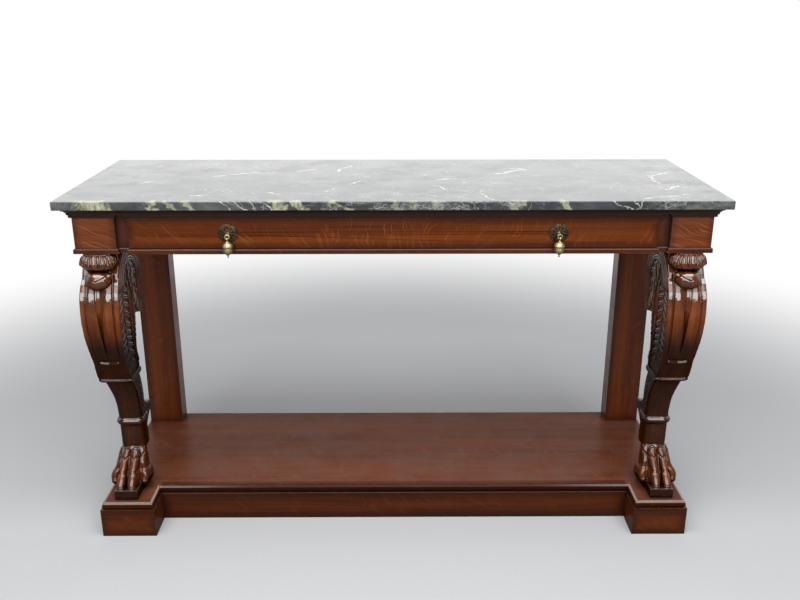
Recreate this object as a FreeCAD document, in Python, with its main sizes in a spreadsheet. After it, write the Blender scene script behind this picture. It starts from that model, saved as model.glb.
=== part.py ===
import FreeCAD, Part
import math
import os
import re
import Sketcher

# Pier table: marble slab, drawer frieze, carved scroll legs in front, flat posts behind, platform on plinths.
# Millimetres. The origin is on the floor under the middle of the slab, +Z is up and the front faces -Y.

driving_sizes = {
    # Marble slab
    "top_width": 1524,
    "top_depth": 528,
    "top_thick": 20,
    "top_overhang": 32,
    "top_rear_overhang": 8,
    "top_edge_round": 2,
    # Heights, from the floor up to the slab
    "base_height": 75,
    "board_thick": 19,
    "leg_height": 650,
    "bead_height": 12,
    "frieze_height": 73,
    "cornice_height": 23,
    # Frieze blocks, stiles and rails
    "block_width": 95,
    "stile_setback": 12,
    "stile_show": 30,
    "stile_thick": 24,
    "stile_lap": 15,
    "rail_depth": 40,
    "blade_depth": 60,
    "apron_thick": 22,
    "bearer_width": 60,
    # Mouldings: how far they stand out from the frieze
    "bead_reach": 4,
    "bead_round": 3,
    "bed_reach": 6,
    "bed_height": 7,
    "cornice_reach": 17,
    "cornice_fillet": 5,
    "cornice_step": 2,
    "mitre_reach": 40,
    # Drawer and what it runs on
    "drawer_proud": 3,
    "drawer_gap": 1,
    "drawer_seat": 0.4,
    "drawer_tongue": 12,
    "drawer_rear_gap": 54,
    "drawer_side_height": 66,
    "drawer_side_thick": 12,
    "drawer_bottom_thick": 6,
    "drawer_bottom_rise": 8,
    "drawer_side_gap": 1.5,
    "slide_gap": 0.3,
    "runner_lap": 25,
    "guide_width": 22,
    "guide_height": 34,
    "kicker_height": 16,
    # Rear posts
    "post_thick": 54,
    # Base: plinth blocks, fascias and board
    "plinth_width": 136,
    "plinth_side": 13,
    "plinth_lead": 19,
    "plinth_depth": 165,
    "plinth_projection": 81,
    "fascia_thick": 22,
    "board_inset": 4,
    "board_top_round": 9,
    "board_bottom_round": 6,
    "batten_width": 45,
    "batten_height": 30,
    "batten_spread": 500,
    "glue_block": 35,
    "glue_block_height": 60,
    # Scroll leg
    "foot_shift": 8,
    "knee_depth": 118,
    "knee_width": 90,
    "reed_height": 4,
    "channel_depth": 5,
    "panel_recess": 3,
    "panel_rim": 8,
    "collar_lip": 4,
    "cap_half_width": 42,
    "cap_half_depth": 27,
    "cap_height": 38,
    "cap_set": 2,
    "cap_lobe_depth": 2.2,
    "bud_drop": 63,
    "bud_lead": 9.5,
    "bud_half_width": 29,
    "bud_half_depth": 21,
    "bud_half_height": 21.5,
    "calyx_drop": 53,
    "calyx_lead": 4,
    "calyx_half_width": 33,
    "calyx_half_depth": 15,
    "calyx_half_height": 11,
    "volute_radius": 92,
    "volute_width": 82,
    "volute_set": 89,
    "volute_drop": 96,
    "volute_pitch": 12,
    "volute_bead": 3,
    "volute_limb": 70,
    "curl_radius": 14,
    "curl_width": 58,
    "paw_half_depth": 54,
    "paw_half_width": 43,
    "paw_set": 68,
    "toe_radius": 11.5,
    "toe_reach": 56,
    "toe_spacing": 27,
    "toe_lag": 38,
    "heel_set": 90,
    "heel_rise": 26,
    "heel_half_width": 48,
    "heel_half_depth": 44,
    "heel_half_height": 34,
    "pad_width": 58,
    "pad_lead": 68,
    "pad_depth": 114,
    "pad_height": 26,
    # Dowels and screws
    "dowel_radius": 10,
    "dowel_length": 60,
    "dowel_set": 37,
    "dowel_fit": 0.1,
    "screw_radius": 2.5,
    "screw_head_radius": 5,
    "screw_head_height": 3,
    "screw_length": 60,
    "screw_fit": 0.1,
    "screw_setback": 16,
    # Drop pulls
    "pull_spacing": 754,
    "rosette_radius": 22,
    "rosette_rim": 1.4,
    "rosette_rise": 3.6,
    "rosette_notch": 2,
    "piercing_inner": 9,
    "piercing_outer": 15,
    "piercing_width": 4,
    "stem_radius": 2.2,
    "stem_fit": 0.2,
    "boss_radius": 5,
    "boss_height": 2,
    "eye_reach": 17,
    "eye_radius": 4.7,
    "eye_wire": 1.8,
    "loop_wire": 1.1,
    "loop_play": 0.5,
    "drop_length": 44,
    "drop_flange": 12.3,
    "drop_ball": 2,
    "nut_radius": 5,
    "nut_height": 4,
    # Overrun of cutting tools
    "overrun": 2,
}

os.makedirs("parts", exist_ok=True)
doc = FreeCAD.newDocument("pier_table")
sheet = doc.addObject("Spreadsheet::Sheet", "sizes")
for row, (size_name, size_value) in enumerate(driving_sizes.items(), start=1):
    sheet.set(f"A{row}", size_name)
    sheet.set(f"B{row}", str(size_value))
    sheet.setAlias(f"B{row}", size_name)
doc.recompute()

# Places worked out from the driving sizes, as expressions on the sheet's names
block_outer = "(top_width / 2 - top_overhang)"
block_inner = f"({block_outer} - block_width)"
block_front = "(top_overhang - top_depth / 2)"
block_rear = f"({block_front} + block_width)"
frame_rear = "(top_depth / 2 - top_rear_overhang)"
stile_front = f"({block_front} + stile_setback)"
stile_rear = f"({stile_front} + stile_thick)"
drawer_half = f"({block_inner} - stile_show)"
drawer_face = f"({block_front} - drawer_proud)"
opening_half = f"({drawer_half} - stile_lap)"
apron_face = f"({frame_rear} - apron_thick)"
post_front = f"({frame_rear} - post_thick)"
board_top = "(base_height + board_thick)"
leg_top = f"({board_top} + leg_height)"
frieze_bottom = f"({leg_top} + bead_height)"
frieze_top = f"({frieze_bottom} + frieze_height)"
frame_top = f"({frieze_top} + cornice_height)"
frame_height = "(bead_height + frieze_height + cornice_height)"
plinth_outer = f"({block_outer} + plinth_side)"
plinth_inner = f"({plinth_outer} - plinth_width)"
plinth_front = f"({block_front} - plinth_lead)"
plinth_rear = f"({plinth_front} + plinth_depth)"
fascia_front = f"({plinth_front} + plinth_projection)"
fascia_rear = f"({fascia_front} + fascia_thick)"
base_rear_face = f"({frame_rear} - fascia_thick)"
leg_middle = f"({block_outer} - block_width / 2)"
foot_middle = f"({leg_middle} - foot_shift)"
drawer_low = f"({frieze_bottom} + drawer_gap)"
box_low = f"({frieze_bottom} + slide_gap)"
box_half = f"({opening_half} - drawer_side_gap)"
lip_back = f"({stile_front} - drawer_seat)"
tongue_back = f"({lip_back} + drawer_tongue)"
drawer_rear = f"({apron_face} - drawer_rear_gap)"
pull_level = f"({frieze_bottom} + frieze_height / 2)"

sides = (("left", -1), ("right", 1))
screw_place_shares = (0.15, 0.45)
tolerance = 0.001
kept = []


def value(expression):
    return float(sheet.evalExpression(expression))


def bound(expression):
    return re.sub(r"[a-z][a-z_]*", lambda word: "sizes." + word.group(), expression)


def keep(piece, label):
    piece.Label = label
    kept.append(piece)
    return piece


def bind(piece, bindings):
    for name, expression in bindings.items():
        piece.setExpression(name, bound(expression))


def place(piece, x, y, z):
    bind(piece, {"Placement.Base.x": x, "Placement.Base.y": y, "Placement.Base.z": z})


def board(label, length, width, height, x, y, z):
    piece = doc.addObject("Part::Box", label)
    bind(piece, {"Length": length, "Width": width, "Height": height})
    place(piece, x, y, z)
    return piece


def start_x(sign, inner, width):
    return inner if sign > 0 else f"-({inner} + {width})"


def rod(label, radius, length, x, y, z):
    piece = doc.addObject("Part::Cylinder", label)
    bind(piece, {"Radius": radius, "Height": length})
    place(piece, x, y, z)
    return piece


def cut(label, base, tools):
    tool = doc.addObject("Part::Compound", label + "_tools")
    tool.Links = tools
    piece = doc.addObject("Part::Cut", label)
    piece.Base = base
    piece.Tool = tool
    return piece


def group(label, members):
    piece = doc.addObject("Part::Compound", label)
    piece.Links = members
    return piece


def draw(sketch, corners, closed=True):
    points = [FreeCAD.Vector(value(x), value(y), 0) for x, y in corners]
    runs = list(zip(points, points[1:]))
    if closed:
        runs.append((points[-1], points[0]))
    for start, end in runs:
        sketch.addGeometry(Part.LineSegment(start, end))
    last = len(runs) - 1
    for index in range(last):
        sketch.addConstraint(Sketcher.Constraint("Coincident", index, 2, index + 1, 1))
    if closed:
        sketch.addConstraint(Sketcher.Constraint("Coincident", last, 2, 0, 1))
    for index, corner in enumerate(corners):
        line, end = (index, 1) if index <= last else (last, 2)
        for kind, expression in zip(("DistanceX", "DistanceY"), corner):
            number = sketch.addConstraint(Sketcher.Constraint(kind, -1, 1, line, end, value(expression)))
            sketch.setExpression(f"Constraints[{number}]", bound(expression))
    return sketch


def body_sketch(body, label, plane, corners):
    sketch = body.newObject("Sketcher::SketchObject", label)
    support = [feature for feature in body.Origin.OriginFeatures if feature.Role == plane]
    sketch.AttachmentSupport = [(support[0], "")]
    sketch.MapMode = "FlatFace"
    return draw(sketch, corners)


def plate(label, corners, thick, z):
    body = doc.addObject("PartDesign::Body", label)
    profile = body_sketch(body, label + "_outline", "XY_Plane", corners)
    pad = body.newObject("PartDesign::Pad", label + "_pad")
    pad.Profile = profile
    bind(pad, {"Length": thick})
    bind(body, {"Placement.Base.z": z})
    return body


def turned(label, corners):
    body = doc.addObject("PartDesign::Body", label)
    profile = body_sketch(body, label + "_half_profile", "XZ_Plane", corners)
    turn = body.newObject("PartDesign::Revolution", label + "_turn")
    turn.Profile = profile
    turn.ReferenceAxis = (profile, ["V_Axis"])
    turn.Angle = 360
    return body


def level_edges(shape, height, skip_rear=None):
    names = []
    for number, edge in enumerate(shape.Edges, start=1):
        box = edge.BoundBox
        if abs(box.ZMin - height) > tolerance or abs(box.ZMax - height) > tolerance:
            continue
        if skip_rear is not None and abs(box.YMin - skip_rear) < tolerance:
            continue
        names.append(f"Edge{number}")
    return names


def make_marble_top():
    half_width = "top_width / 2"
    half_depth = "top_depth / 2"
    corners = [
        (f"-{half_width}", f"-{half_depth}"),
        (half_width, f"-{half_depth}"),
        (half_width, half_depth),
        (f"-{half_width}", half_depth),
    ]
    slab = plate("marble_top", corners, "top_thick", frame_top)
    doc.recompute()
    blank = slab.Tip
    ease = slab.newObject("PartDesign::Fillet", "marble_ease")
    ease.Base = (blank, [f"Edge{number}" for number in range(1, len(blank.Shape.Edges) + 1)])
    bind(ease, {"Radius": "top_edge_round"})
    keep(slab, "marble_top")


def mitre_wedges():
    far_left = f"-({block_outer} + mitre_reach)"
    near_left = f"-({block_outer} - mitre_reach)"
    far_right = f"({block_outer} + mitre_reach)"
    near_right = f"({block_outer} - mitre_reach)"
    ahead = f"({block_front} - mitre_reach)"
    inside = f"({block_front} + mitre_reach)"
    behind = f"({frame_rear} + mitre_reach)"
    plans = {
        "left": [(far_left, ahead), (near_left, inside), (near_left, behind), (far_left, behind)],
        "front": [(far_left, ahead), (far_right, ahead), (near_right, inside), (near_left, inside)],
        "right": [(far_right, ahead), (far_right, behind), (near_right, behind), (near_right, inside)],
    }
    return {run: plate(f"{run}_mitre_wedge", plan, frame_top, "0") for run, plan in plans.items()}


def moulding(label, profile, plan, level, wedges):
    spine = draw(doc.addObject("Sketcher::SketchObject", label + "_spine"), plan, closed=False)
    bind(spine, {"Placement.Base.z": level})
    section = doc.addObject("Sketcher::SketchObject", label + "_section")
    section.Placement.Rotation = FreeCAD.Rotation(FreeCAD.Vector(1, 0, 0), 90)
    place(section, f"-{block_outer}", frame_rear, level)
    draw(section, [(f"-({reach})", rise) for reach, rise in profile])
    doc.recompute()
    sweep = doc.addObject("Part::Sweep", label + "_sweep")
    sweep.Sections = [section]
    sweep.Spine = (spine, [f"Edge{number}" for number in range(1, len(plan))])
    sweep.Solid = True
    sweep.Transition = "Right corner"
    for run, wedge in wedges.items():
        piece = doc.addObject("Part::Common", f"{run}_{label}")
        piece.Base = sweep
        piece.Tool = wedge
        keep(piece, f"{run}_{label}")


def broken_front(drawer_plane):
    half = [
        (block_outer, block_front),
        (block_inner, block_front),
        (block_inner, stile_front),
        (drawer_half, stile_front),
        (drawer_half, drawer_plane),
    ]
    left = [(f"-{x}", y) for x, y in half]
    return left + half[::-1]


# Where the bead's rounding breaks, and the cove's points between its foot and its top, out then up.
bead_break_share = 0.33
cove_shares = ((0.15, 0.45), (0.60, 0.80))


def make_mouldings():
    wedges = mitre_wedges()
    left_end = [(f"-{block_outer}", frame_rear)]
    right_end = [(block_outer, frame_rear)]
    bead = [
        ("0", "0"),
        ("bead_reach", "0"),
        ("bead_reach", "bead_height - bead_round"),
        (f"bead_reach - bead_round * {bead_break_share}", f"bead_height - bead_round * {bead_break_share}"),
        ("bead_reach - bead_round", "bead_height"),
        ("0", "bead_height"),
    ]
    moulding("bead", bead, left_end + broken_front(drawer_face) + right_end, leg_top, wedges)
    bed_foot = f"bed_reach - bead_round * {bead_break_share}"
    bed = [("0", "0"), (bed_foot, "0"), ("bed_reach", "bed_height"), ("0", "bed_height")]
    moulding("bed_mould", bed, left_end + broken_front(block_front) + right_end, frieze_top, wedges)
    cove_low = "bed_reach + cornice_step"
    cove_high = "cornice_reach - cornice_step"
    cove_rise = "cornice_height - bed_height - cornice_fillet"
    cove = []
    for out_share, up_share in cove_shares:
        out = f"({cove_low}) * {1 - out_share} + ({cove_high}) * {out_share}"
        cove.append((out, f"({cove_rise}) * {up_share}"))
    cornice = [("0", "0"), (cove_low, "0")] + cove + [
        (cove_high, cove_rise),
        ("cornice_reach", cove_rise),
        ("cornice_reach", "cornice_height - bed_height"),
        ("0", "cornice_height - bed_height"),
    ]
    straight = [(f"-{block_outer}", block_front), (block_outer, block_front)]
    level = f"({frieze_top} + bed_height)"
    moulding("cornice", cornice, left_end + straight + right_end, level, wedges)


def make_frieze():
    for side, sign in sides:
        block_x = start_x(sign, block_inner, "block_width")
        blank = board(f"{side}_block_blank", "block_width", "block_width", frame_height,
                      block_x, block_front, leg_top)
        socket = top_dowel(f"{side}_block_socket", sign, "dowel_radius + dowel_fit")
        keep(cut(f"{side}_frieze_block", blank, [socket]), f"{side}_frieze_block")
        stile_width = "stile_show + stile_lap"
        keep(board(f"{side}_stile", stile_width, "stile_thick", "frieze_height",
                   start_x(sign, opening_half, stile_width), stile_front, frieze_bottom), f"{side}_stile")
        apron_x = start_x(sign, f"{block_outer} - apron_thick", "apron_thick")
        keep(board(f"{side}_apron", "apron_thick", f"{post_front} - {block_rear}", frame_height,
                   apron_x, block_rear, leg_top), f"{side}_apron")
    keep(board("rear_apron", f"2 * {block_inner}", "apron_thick", frame_height,
               f"-{block_inner}", apron_face, leg_top), "rear_apron")
    blade_rear = f"({stile_front} + blade_depth)"
    rail_rear = f"({stile_front} + rail_depth)"
    blade = broken_front(drawer_face)[1:-1]
    blade = [(f"-{block_inner}", blade_rear)] + blade[1:-1] + [(block_inner, blade_rear)]
    keep(plate("drawer_blade", blade, "bead_height", leg_top), "drawer_blade")
    rail = broken_front(block_front)[1:-1]
    rail = [(f"-{block_inner}", rail_rear)] + rail[1:-1] + [(block_inner, rail_rear)]
    keep(plate("top_rail", rail, "cornice_height", frieze_top), "top_rail")
    keep(board("centre_bearer", "bearer_width", f"{apron_face} - {rail_rear}", "cornice_height",
               "-bearer_width / 2", rail_rear, frieze_top), "centre_bearer")
    make_drawer_ways(blade_rear, rail_rear)


def make_drawer_ways(blade_rear, rail_rear):
    runner_width = "(runner_lap + stile_lap + stile_show)"
    for side, sign in sides:
        runner_x = start_x(sign, f"({opening_half} - runner_lap)", runner_width)
        guide_x = start_x(sign, opening_half, "guide_width")
        kicker_width = "(runner_lap + guide_width)"
        kicker_x = start_x(sign, f"({opening_half} - runner_lap)", kicker_width)
        keep(board(f"{side}_drawer_runner", runner_width, f"{apron_face} - {blade_rear}", "bead_height",
                   runner_x, blade_rear, leg_top), f"{side}_drawer_runner")
        keep(board(f"{side}_drawer_guide", "guide_width", f"{apron_face} - {stile_rear}", "guide_height",
                   guide_x, stile_rear, frieze_bottom), f"{side}_drawer_guide")
        keep(board(f"{side}_drawer_kicker", kicker_width, f"{apron_face} - {rail_rear}", "kicker_height",
                   kicker_x, rail_rear, frieze_top), f"{side}_drawer_kicker")


def top_dowel(label, sign, radius):
    return rod(label, radius, "dowel_length", f"{sign} * {leg_middle}", f"{block_front} + dowel_set",
               f"{leg_top} - dowel_length / 2")


def foot_dowel(label, sign, radius):
    return rod(label, radius, "dowel_length", f"{sign} * {foot_middle}", f"{block_front} + paw_set",
               f"{board_top} - dowel_length / 2")


def screw_places(sign):
    spots = []
    for share in screw_place_shares:
        spots.append((f"{sign} * ({block_inner} + block_width * {share})", f"{post_front} + screw_setback"))
    return spots


def make_base():
    board_holes = []
    for side, sign in sides:
        plinth_x = start_x(sign, plinth_inner, "plinth_width")
        blank = board(f"{side}_plinth_blank", "plinth_width", "plinth_depth", "base_height",
                      plinth_x, plinth_front, "0")
        socket = foot_dowel(f"{side}_plinth_socket", sign, "dowel_radius + dowel_fit")
        keep(cut(f"{side}_plinth_block", blank, [socket]), f"{side}_plinth_block")
        board_holes.append(foot_dowel(f"{side}_board_socket", sign, "dowel_radius + dowel_fit"))
        fascia_x = start_x(sign, f"({plinth_outer} - fascia_thick)", "fascia_thick")
        keep(board(f"{side}_fascia", "fascia_thick", f"{frame_rear} - {plinth_rear}", "base_height",
                   fascia_x, plinth_rear, "0"), f"{side}_fascia")
        blank = board(f"{side}_post_blank", "block_width", "post_thick", f"{frame_top} - {board_top}",
                      start_x(sign, block_inner, "block_width"), post_front, board_top)
        pilots = []
        for number, (x, y) in enumerate(screw_places(sign)):
            radius = "screw_radius + screw_fit"
            pilots.append(rod(f"{side}_post_pilot_{number}", radius, "screw_length", x, y, "base_height"))
            board_holes.append(rod(f"{side}_board_pilot_{number}", radius, "screw_length", x, y,
                                   "base_height - overrun"))
        keep(cut(f"{side}_rear_post", blank, pilots), f"{side}_rear_post")
    keep(board("front_fascia", f"2 * {plinth_inner}", "fascia_thick", "base_height",
               f"-{plinth_inner}", fascia_front, "0"), "front_fascia")
    inner_half = f"({plinth_outer} - fascia_thick)"
    keep(board("rear_fascia", f"2 * {inner_half}", "fascia_thick", "base_height",
               f"-{inner_half}", base_rear_face, "0"), "rear_fascia")
    make_platform(board_holes)
    make_base_stiffeners(inner_half)


def make_platform(holes):
    outer = f"({plinth_outer} - board_inset)"
    inner = f"({plinth_inner} + board_inset)"
    ear_front = f"({plinth_front} + board_inset)"
    front = f"({fascia_front} + board_inset)"
    half = [(outer, frame_rear), (outer, ear_front), (inner, ear_front), (inner, front)]
    corners = half + [(f"-{x}", y) for x, y in half[::-1]]
    slab = plate("platform_slab", corners, "board_thick", "base_height")
    doc.recompute()
    rear = value(frame_rear)
    blank = slab.Tip
    nose = slab.newObject("PartDesign::Fillet", "platform_nose")
    nose.Base = (blank, level_edges(blank.Shape, value("board_thick"), rear))
    bind(nose, {"Radius": "board_top_round"})
    doc.recompute()
    quirk = slab.newObject("PartDesign::Fillet", "platform_quirk")
    quirk.Base = (nose, level_edges(nose.Shape, 0, rear))
    bind(quirk, {"Radius": "board_bottom_round"})
    keep(cut("platform_board", slab, holes), "platform_board")


def make_base_stiffeners(inner_half):
    battens = []
    blocks = []
    low = "base_height - glue_block_height"
    for side, sign in sides:
        x = f"{sign} * batten_spread / 2 - batten_width / 2"
        battens.append(board(f"{side}_batten", "batten_width", f"{base_rear_face} - {fascia_rear}",
                             "batten_height", x, fascia_rear, "base_height - batten_height"))
        front_x = start_x(sign, f"({plinth_inner} - glue_block)", "glue_block")
        rear_x = start_x(sign, f"({inner_half} - glue_block)", "glue_block")
        blocks.append(board(f"{side}_front_glue_block", "glue_block", "glue_block", "glue_block_height",
                            front_x, fascia_rear, low))
        blocks.append(board(f"{side}_rear_glue_block", "glue_block", "glue_block", "glue_block_height",
                            rear_x, f"{base_rear_face} - glue_block", low))
    keep(group("platform_battens", battens), "platform_battens")
    keep(group("base_glue_blocks", blocks), "base_glue_blocks")


def make_fasteners():
    dowels = []
    screws = []
    for side, sign in sides:
        dowels.append(top_dowel(f"{side}_top_dowel", sign, "dowel_radius"))
        dowels.append(foot_dowel(f"{side}_foot_dowel", sign, "dowel_radius"))
        for number, (x, y) in enumerate(screw_places(sign)):
            shank = rod(f"{side}_shank_{number}", "screw_radius", "screw_length - overrun", x, y,
                        "base_height")
            head = rod(f"{side}_head_{number}", "screw_head_radius", "screw_head_height", x, y,
                       "base_height - screw_head_height")
            screw = doc.addObject("Part::Fuse", f"{side}_screw_{number}")
            screw.Base = head
            screw.Tool = shank
            screws.append(screw)
    keep(group("leg_dowels", dowels), "leg_dowels")
    keep(group("post_screws", screws), "post_screws")


# Scroll leg. Heights are shares of the leg's height above the board, set-backs and front-to-back sizes are
# shares of the knee's depth behind the frieze block's face, and widths are shares of the knee's width.
# Sheath rows: height, front, rear, width, how far the reeds stand up, width of the middle channel.
sheath_shares = (
    (1.000, 0.100, 1.000, 0.867, 0.4, 0.20),
    (0.895, -0.020, 0.940, 0.956, 1.0, 0.20),
    (0.834, -0.195, 0.885, 1.000, 1.0, 0.17),
    (0.760, -0.235, 0.845, 1.000, 1.0, 0.11),
    (0.695, -0.200, 0.825, 0.967, 0.8, 0.06),
    (0.631, -0.100, 0.820, 0.911, 0.5, 0.03),
    (0.570, 0.045, 0.830, 0.883, 0.2, 0.03),
    (0.488, 0.235, 0.905, 0.856, 0.1, 0.03),
)
# Ankle rows: height, front, rear, width, corner radius as a share of the width.
ankle_shares = (
    (0.515, 0.250, 0.850, 0.720, 0.10),
    (0.470, 0.330, 0.920, 0.740, 0.12),
    (0.410, 0.490, 1.000, 0.705, 0.16),
    (0.327, 0.615, 1.085, 0.665, 0.24),
    (0.268, 0.630, 1.135, 0.690, 0.34),
    (0.215, 0.630, 1.165, 0.715, 0.40),
    (0.163, 0.640, 1.185, 0.715, 0.42),
)
# Collar rows, height then front, rear and width, each grown by a share of the collar's lip.
upper_collar_shares = ((0.500, 0.212, 0.895, 0.856, 0.2), (0.490, 0.232, 0.905, 0.856, 1.0),
                       (0.479, 0.272, 0.905, 0.820, 0.2))
lower_collar_shares = ((0.293, 0.615, 1.105, 0.690, 0.1), (0.279, 0.620, 1.120, 0.690, 1.2),
                       (0.265, 0.625, 1.130, 0.690, 0.1))
# Paw rows: height as a share of the paw's height, set-back, half depth and half width as shares of its own,
# then how much of the foot's shift it takes.
paw_shares = (
    (1.02, 1.55, 0.53, 0.61, 1.00),
    (0.68, 1.35, 0.87, 0.72, 0.80),
    (0.36, 1.24, 1.05, 0.82, 0.50),
    (0.14, 1.18, 1.09, 0.82, 0.40),
    (0.00, 1.18, 1.04, 0.80, 0.40),
)
# Toe rows: height as a share of the paw's height, then shares of the toe's reach, radius, spacing for a front
# toe and for a side toe, a side toe's lag, and the foot's shift.
toe_shares = (
    (0.949, 0.020, 0.52, 0.33, 0.80, 0.40, 0.80),
    (0.748, 0.255, 0.96, 0.46, 0.93, 0.60, 0.60),
    (0.606, 0.540, 0.85, 0.48, 1.055, 0.75, 0.45),
    (0.365, 0.840, 1.00, 0.50, 1.37, 0.95, 0.15),
    (0.250, 1.000, 0.87, 0.51, 1.37, 1.00, 0.10),
)
toe_tip_share = 1.05
pad_shift_share = 0.3
# Cap rows: height as a share of the cap's height, then half width and half depth as a share of its own.
cap_shares = ((0.00, 0.64), (0.15, 0.88), (0.45, 1.00), (0.78, 0.95), (1.00, 0.76))
# Corners of the leaf that curls out behind the ankle: set-back, then height. The third is the curl's eye.
curl_shares = ((1.05, 0.235), (1.32, 0.272), (1.36, 0.291), (1.28, 0.309), (1.00, 0.340))
# Corners of the leaf that hangs from the volute's rear: set-back, then height, from the volute's middle.
tail_shares = ((0.00, 0.00), (0.99, 0.00), (0.98, -0.55), (0.93, -0.98), (0.82, -1.13), (0.62, -1.06),
               (0.10, -0.92))
strip_share = 0.14
corner_limit_share = 0.46
upper_corner_share = 0.20
lower_corner_share = 0.60
paw_height_share = 0.1723
# The leg leans in towards its foot between these heights.
lean_high_share = 0.53
lean_low_share = 0.40
lobes = 14
arches = 3


def arc(start, end, bulge):
    middle = (start + end) / 2 + bulge
    return Part.Arc(start, middle, end).toShape()


def line(start, end):
    return Part.LineSegment(start, end).toShape()


def lean(height_share):
    fall = (lean_high_share - height_share) / (lean_high_share - lean_low_share)
    return -value("foot_shift") * min(max(fall, 0), 1)


def sheath_section(row):
    height, front, rear, width, reed, channel = row
    depth = value("knee_depth")
    half = value("knee_width") * width / 2
    front, rear = front * depth, rear * depth
    z = height * value("leg_height")
    strip = 2 * half * strip_share
    gap = value("knee_width") * channel / 2
    recess, rim = value("panel_recess"), value("panel_rim")
    xs = (-half, strip - half, -gap, gap, half - strip, half)
    face = [FreeCAD.Vector(x, front, z) for x in xs]
    rise = FreeCAD.Vector(0, -value("reed_height") * reed, 0)
    sink = FreeCAD.Vector(0, value("channel_depth") * reed, 0)
    edges = [line(face[0], face[1]), arc(face[1], face[2], rise), arc(face[2], face[3], sink),
             arc(face[3], face[4], rise), line(face[4], face[5])]
    side = ((half, front), (half, front + rim), (half - recess, front + rim),
            (half - recess, rear - rim), (half, rear - rim), (half, rear))
    around = list(side) + [(-x, y) for x, y in side[::-1]]
    points = [FreeCAD.Vector(x, y, z) for x, y in around]
    edges += [line(start, end) for start, end in zip(points, points[1:])]
    return Part.Wire(edges)


def rounded_section(height_share, front, rear, half, radius):
    z = height_share * value("leg_height")
    shift = FreeCAD.Vector(lean(height_share), 0, 0)
    middle = (front + rear) / 2
    half_depth = (rear - front) / 2
    corners = ((half, -half_depth), (half, half_depth), (-half, half_depth), (-half, -half_depth))
    diagonal = radius * (1 - math.sqrt(0.5))
    edges = []
    ends = []
    for x, y in corners:
        sx, sy = math.copysign(1, x), math.copysign(1, y)
        along_x = FreeCAD.Vector(x - sx * radius, middle + y, z) + shift
        along_y = FreeCAD.Vector(x, middle + y - sy * radius, z) + shift
        tip = FreeCAD.Vector(x - sx * diagonal, middle + y - sy * diagonal, z) + shift
        first, last = (along_x, along_y) if sx * sy < 0 else (along_y, along_x)
        ends.append((first, tip, last))
    for (first, tip, last), (following, _, _) in zip(ends, ends[1:] + ends[:1]):
        edges.append(Part.Arc(first, tip, last).toShape())
        edges.append(line(last, following))
    return Part.Wire(edges)


def ankle_section(row):
    height, front, rear, width, corner = row
    depth = value("knee_depth")
    half = value("knee_width") * width / 2
    radius = min(2 * half * corner, (rear - front) * depth * corner_limit_share)
    return rounded_section(height, front * depth, rear * depth, half, radius)


def collar(rows, corner_share):
    depth = value("knee_depth")
    wires = []
    for height, front, rear, width, lip in rows:
        grow = lip * value("collar_lip")
        half = value("knee_width") * width / 2 + grow
        radius = half * corner_share
        wires.append(rounded_section(height, front * depth - grow, rear * depth + grow, half, radius))
    return Part.makeLoft(wires, True, False)


def ellipse_wire(centre, half_x, half_y):
    long_x = half_x > half_y
    along_x = centre + FreeCAD.Vector(half_x, 0, 0)
    along_y = centre + FreeCAD.Vector(0, half_y, 0)
    curve = Part.Ellipse(along_x, along_y, centre) if long_x else Part.Ellipse(along_y, along_x, centre)
    return Part.Wire([curve.toShape()])


def paw_height():
    return value("leg_height") * paw_height_share


def paw_core():
    wires = []
    for height, setback, half_depth, half_width, shift in paw_shares:
        x = -shift * value("foot_shift")
        centre = FreeCAD.Vector(x, setback * value("paw_set"), height * paw_height())
        wires.append(ellipse_wire(centre, half_width * value("paw_half_width"),
                                  half_depth * value("paw_half_depth")))
    return Part.makeLoft(wires, True, False)


def toe(sign, at_side):
    points = []
    for height, lead, radius, front_place, side_place, lag, shift in toe_shares:
        share = side_place if at_side else front_place
        x = sign * share * value("toe_spacing") - shift * value("foot_shift")
        y = value("paw_set") - lead * value("toe_reach") + at_side * lag * value("toe_lag")
        points.append((FreeCAD.Vector(x, y, height * paw_height()), radius * value("toe_radius")))
    wires = []
    for index, (centre, radius) in enumerate(points):
        before = points[max(index - 1, 0)][0]
        after = points[min(index + 1, len(points) - 1)][0]
        wires.append(Part.Wire([Part.Circle(centre, after - before, radius).toShape()]))
    solid = Part.makeLoft(wires, True, False)
    tip, radius = points[-1]
    return solid.fuse(Part.makeSphere(toe_tip_share * radius, tip))


def gadrooned_cap():
    low = value("leg_height - cap_height")
    step = 2 * math.pi / lobes
    wires = []
    for height, reach in cap_shares:
        centre = FreeCAD.Vector(0, value("cap_set"), low + height * value("cap_height"))
        edges = []
        for lobe in range(lobes):
            ends = []
            for turn, sink in ((lobe, "cap_lobe_depth"), (lobe + 0.5, "0"), (lobe + 1, "cap_lobe_depth")):
                half_width = reach * value("cap_half_width") - value(sink)
                half_depth = reach * value("cap_half_depth") - value(sink)
                x = half_width * math.cos(turn * step)
                y = half_depth * math.sin(turn * step)
                ends.append(centre + FreeCAD.Vector(x, y, 0))
            edges.append(Part.Arc(*ends).toShape())
        wires.append(Part.Wire(edges))
    return Part.makeLoft(wires, True, True)


def swelling(name, x, y, z):
    matrix = FreeCAD.Matrix()
    matrix.scale(*(value(f"{name}_half_{way}") for way in ("width", "depth", "height")))
    matrix.move(FreeCAD.Vector(x, value(y), value(z)))
    return Part.makeSphere(1).transformGeometry(matrix)


def arch_path(centre, radius):
    out = FreeCAD.Vector(0, radius, 0)
    up = FreeCAD.Vector(0, 0, radius)
    limb = FreeCAD.Vector(0, 0, value("volute_limb"))
    return Part.Wire([Part.Arc(centre - out, centre + up, centre + out).toShape(),
                      line(centre + out, centre + out - limb)])


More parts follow.
